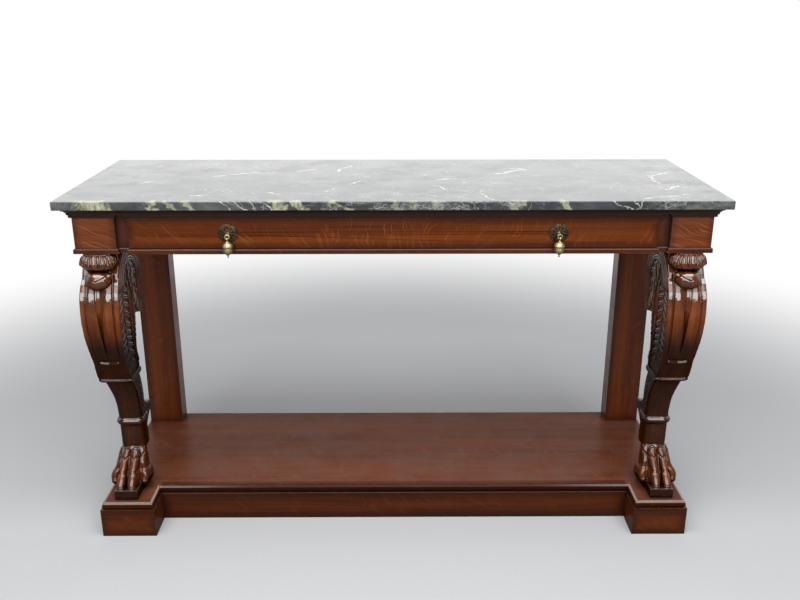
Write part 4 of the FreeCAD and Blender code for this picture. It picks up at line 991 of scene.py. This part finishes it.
def makeFloor():
    mesh = bpy.data.meshes.new("floor")
    half = stage["size"] / 2
    corners = [(-half, -half, 0), (half, -half, 0), (half, half, 0), (-half, half, 0)]
    mesh.from_pydata(corners, [], [(0, 1, 2, 3)])
    floor = addObject("floor", mesh)
    material, tree, shader = startMaterial("paleFloor", {"Roughness": stage["roughness"]})
    coords = addNode(tree, "ShaderNodeTexCoord")["Object"]
    dark = tuple(part * stage["speckleShade"] for part in stage["floor"])
    tint = ramp(tree, cloud(tree, coords, *stage["speckle"]),
                list(zip(stage["speckleStops"], (dark, stage["floor"]))))
    ray = addNode(tree, "ShaderNodeLightPath")
    # reflections find the white ground behind the table, and a dimmer floor before it
    behind = fade(tree, split(tree, coords)[1], stage["behindTable"])
    mirrored = calc(tree, "MAXIMUM", ray["Is Glossy Ray"], ray["Is Transmission Ray"])
    seen = calc(tree, "MAXIMUM", ray["Is Camera Ray"], times(tree, mirrored, behind))
    # the floor throws back less light than it shows, so undersides stay dark
    bounced = shadeBy(tree, tint, (*grey(stage["bounce"]), 1))
    fillInputs(tree, shader, {"Base Color": mixColours(tree, seen, bounced, tint)})
    amount = times(tree, fade(tree, vectorCalc(tree, "LENGTH", coords), stage["fade"]), seen)
    white = addNode(tree, "ShaderNodeEmission", {"Color": (1, 1, 1, 1), "Strength": 1.0})[0]
    mix = addNode(tree, "ShaderNodeMixShader", {0: amount, 1: shader.outputs[0], 2: white})[0]
    fillInputs(tree, tree.nodes["Material Output"], {"Surface": mix})
    mesh.materials.append(material)


def makeWorld():
    world = bpy.data.worlds.new("studio")
    bpy.context.scene.world = world
    world.use_nodes = True
    tree = world.node_tree
    tree.nodes.clear()
    ray = addNode(tree, "ShaderNodeLightPath")
    facing = split(tree, addNode(tree, "ShaderNodeTexCoord")["Generated"])
    # reflections find the white backdrop behind the table and a dimmer room in front of it
    glossy = ray["Is Glossy Ray"]
    mirrored = times(tree, glossy, fade(tree, facing[1], stage["skyTurn"], (stage["behindCamera"], 1.0)))
    ambient = times(tree, calc(tree, "SUBTRACT", 1.0, glossy), stage["ambient"])
    strength = calc(tree, "MAXIMUM", calc(tree, "ADD", mirrored, ambient), ray["Is Camera Ray"],
                    ray["Is Transmission Ray"])
    sky = addNode(tree, "ShaderNodeBackground", {"Color": (1, 1, 1, 1), "Strength": strength})[0]
    addNode(tree, "ShaderNodeOutputWorld", {"Surface": sky})


lamps = {
    "ceilingPanel": {"place": (0.0, -0.9, 2.8), "aim": (0, -0.1, 0.4), "size": (4.0, 1.0), "power": 53},
    "upperPanel": {"place": (0.0, -2.6, 3.0), "aim": (0, 0, 0.6), "size": (4.0, 1.6), "power": 42},
    "frontPanel": {"place": (0.0, -3.5, 1.85), "aim": (0, 0, 0.62), "size": (5.0, 1.2), "power": 68},
    "rearPanel": {"place": (0.0, 2.6, 1.45), "aim": (0, 0, 0.9), "size": (4.4, 1.2), "power": 12},
}


def makeLamps():
    for name, values in lamps.items():
        lamp = bpy.data.lights.new(name, "AREA")
        lamp.shape = "RECTANGLE"
        lamp.size, lamp.size_y = values["size"]
        lamp.energy = values["power"]
        holder = addObject(name, lamp)
        holder.location = values["place"]
        away = Vector(values["place"]) - Vector(values["aim"])
        holder.rotation_euler = away.to_track_quat("Z", "Y").to_euler()
        holder.visible_camera = False


cameraView = {
    "place": (0.0011, -2.1738, 1.3053), "down": 19.18, "turn": 0.392, "focalPixels": 877.24,
    "width": 800, "sensor": 36.0, "nearest": 0.05,
}


def makeCamera():
    lens = bpy.data.cameras.new("camera")
    lens.sensor_width = cameraView["sensor"]
    lens.lens = cameraView["focalPixels"] / cameraView["width"] * cameraView["sensor"]
    lens.clip_start = cameraView["nearest"]
    holder = addObject("camera", lens)
    holder.location = cameraView["place"]
    holder.rotation_euler = (math.radians(90 - cameraView["down"]), 0, -math.radians(cameraView["turn"]))
    bpy.context.scene.camera = holder


makeFloor()
makeWorld()
makeLamps()
makeCamera()
bpy.context.scene.view_settings.view_transform = "Standard"
print("stage ready")
